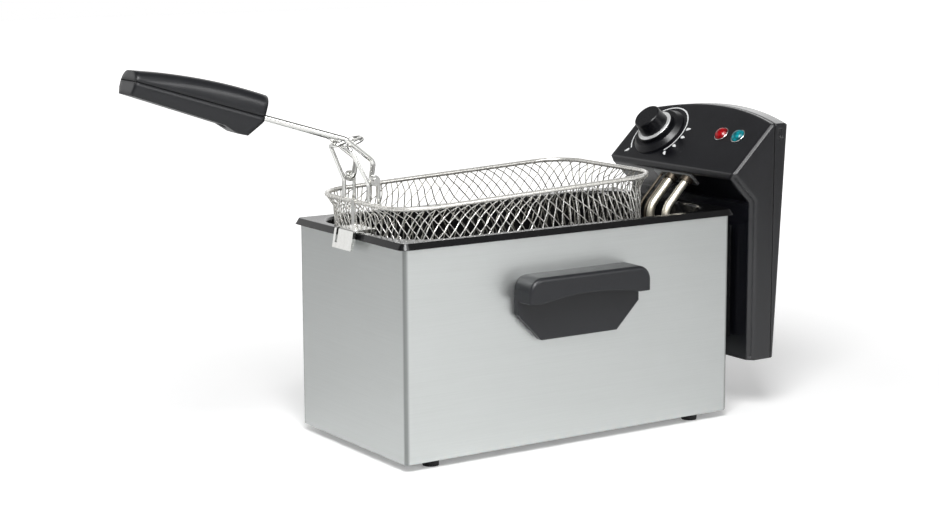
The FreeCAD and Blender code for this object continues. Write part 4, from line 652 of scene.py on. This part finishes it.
# Table: a white laminate top, large enough to reach past the view. It keeps the fryer's shadow. Seen
# straight or through glass it is lifted towards the white of the room, least close round the fryer, and
# in gloss it is lifted a little, in a patch before the front.
table_white, tree, shader, place = new_finish("white_laminate")
shader.inputs["Roughness"].default_value = 0.7
shader.inputs["Specular IOR Level"].default_value = 0.2
cloud = add_node(tree, "ShaderNodeTexNoise", {"Vector": place, "Scale": 1 / 0.4})
tone = add_node(tree, "ShaderNodeMix", {0: cloud.outputs[0], 6: linear("#f1f1f1"), 7: linear("#f6f6f6")},
                data_type="RGBA")
tree.links.new(tone.outputs[2], shader.inputs["Base Color"])
under_fryer, before_front = (0.05, 0.0, 0.0), (0.15, -0.8, 0.0)
ray = add_node(tree, "ShaderNodeLightPath", {})
seen = add_node(tree, "ShaderNodeMath", {0: ray.outputs["Is Camera Ray"],
                                         1: ray.outputs["Is Transmission Ray"]}, operation="MAXIMUM")
away = add_node(tree, "ShaderNodeVectorMath", {0: place, 1: under_fryer}, operation="DISTANCE")
white = add_node(tree, "ShaderNodeMapRange", {"Value": away.outputs["Value"], "From Min": 0.3,
                                              "From Max": 1.1, "To Min": 0.22, "To Max": 0.8})
lifted = add_node(tree, "ShaderNodeMath", {0: seen.outputs[0], 1: white.outputs[0]}, operation="MULTIPLY")
before = add_node(tree, "ShaderNodeVectorMath", {0: place, 1: before_front}, operation="DISTANCE")
pool = add_node(tree, "ShaderNodeMapRange", {"Value": before.outputs["Value"], "From Min": 0.1,
                                             "From Max": 0.62, "To Min": 0.16, "To Max": 0.02})
lifted = add_node(tree, "ShaderNodeMath", {0: ray.outputs["Is Glossy Ray"], 1: pool.outputs[0],
                                           2: lifted.outputs[0]}, operation="MULTIPLY_ADD")
shader.inputs["Emission Color"].default_value = (1, 1, 1, 1)
tree.links.new(lifted.outputs[0], shader.inputs["Emission Strength"])
table_half = 6.0
table_mesh = bpy.data.meshes.new("table")
table_mesh.from_pydata([(-table_half, -table_half, 0), (table_half, -table_half, 0),
                        (table_half, table_half, 0), (-table_half, table_half, 0)], [], [(0, 1, 2, 3)])
table_mesh.materials.append(table_white)
table = bpy.data.objects.new("table", table_mesh)
bpy.context.scene.collection.objects.link(table)

# Light: a white sweep behind the fryer, a dim room overhead and behind the camera, a soft lamp close by on
# the left, two cards in front that only show in gloss, and a wide lamp behind on the right.
sweep_level, overhead_level, front_level, room_level = 1.0, 0.22, 0.32, 0.4
from_camera = (0.548, 0.836, 0.0)
world = bpy.data.worlds.new("studio")
bpy.context.scene.world = world
world.use_nodes = True
tree = world.node_tree
room = tree.nodes["Background"]
ray = add_node(tree, "ShaderNodeLightPath", {})
seen = add_node(tree, "ShaderNodeMath", {0: ray.outputs["Is Glossy Ray"],
                                         1: ray.outputs["Is Transmission Ray"]}, operation="MAXIMUM")
aim = add_node(tree, "ShaderNodeTexCoord", {}).outputs["Generated"]
rising = add_node(tree, "ShaderNodeSeparateXYZ", {0: aim})
low = add_node(tree, "ShaderNodeMapRange", {"Value": rising.outputs["Z"], "From Min": 0.38, "From Max": 0.54,
                                            "To Min": sweep_level, "To Max": overhead_level},
               interpolation_type="SMOOTHSTEP")
depth = add_node(tree, "ShaderNodeVectorMath", {0: aim, 1: from_camera}, operation="DOT_PRODUCT")
behind = add_node(tree, "ShaderNodeMapRange", {"Value": depth.outputs["Value"], "From Min": -0.35,
                                               "From Max": 0.2}, interpolation_type="SMOOTHSTEP")
around = add_node(tree, "ShaderNodeMix", {0: behind.outputs[0], 2: front_level, 3: low.outputs[0]})
mirrored = add_node(tree, "ShaderNodeMix", {0: seen.outputs[0], 2: room_level, 3: around.outputs[0]})
level = add_node(tree, "ShaderNodeMix", {0: ray.outputs["Is Camera Ray"], 2: mirrored.outputs[0],
                                         3: sweep_level})
tree.links.new(level.outputs[0], room.inputs["Strength"])
room.inputs["Color"].default_value = (1, 1, 1, 1)
for lamp_name, spot, target, side, power, lights in (
        ("key", (-0.6, -0.8, 1.1), (0, 0, 0.1), 0.6, 19.0, True),
        ("card", (-0.17, -0.89, 1.24), (0.17, 0, 0.2), 1.0, 11.0, False),
        ("strip", (0.56, -1.37, 0.65), (0.19, 0, 0.22), 0.5, 6.0, False),
        ("back", (1.2, 1.4, 1.0), (0.2, 0, 0.22), 1.0, 2.2, True)):
    lamp = bpy.data.lights.new(lamp_name, "AREA")
    lamp.size = side
    lamp.energy = power
    holder = bpy.data.objects.new(lamp_name, lamp)
    holder.location = spot
    holder.rotation_euler = (Vector(target) - Vector(spot)).to_track_quat("-Z", "Y").to_euler()
    holder.visible_diffuse = lights
    bpy.context.scene.collection.objects.link(holder)

# Camera: the photograph's eye, off the near left corner and a little above the rim. Its place, turn, tilt,
# roll and lens were solved from the housing's edges.
turn, tilt, roll = math.radians(33.25), math.radians(9.875), math.radians(-0.258)
ahead = Vector((math.sin(turn) * math.cos(tilt), math.cos(turn) * math.cos(tilt), -math.sin(tilt)))
right = Vector((math.cos(turn), -math.sin(turn), 0))
up = right.cross(ahead)
level_right = right * math.cos(roll) + up * math.sin(roll)
level_up = up * math.cos(roll) - right * math.sin(roll)
eye_place = (-0.8768, -1.2709, 0.3952)
eye = bpy.data.cameras.new("photo_eye")
eye.sensor_width = 36.0
eye.lens = 77.58
camera = bpy.data.objects.new("photo_eye", eye)
axes = Matrix((level_right, level_up, -ahead)).transposed().to_4x4()
camera.matrix_world = Matrix.Translation(eye_place) @ axes
bpy.context.scene.collection.objects.link(camera)
bpy.context.scene.camera = camera
bpy.context.scene.view_settings.view_transform = "Standard"
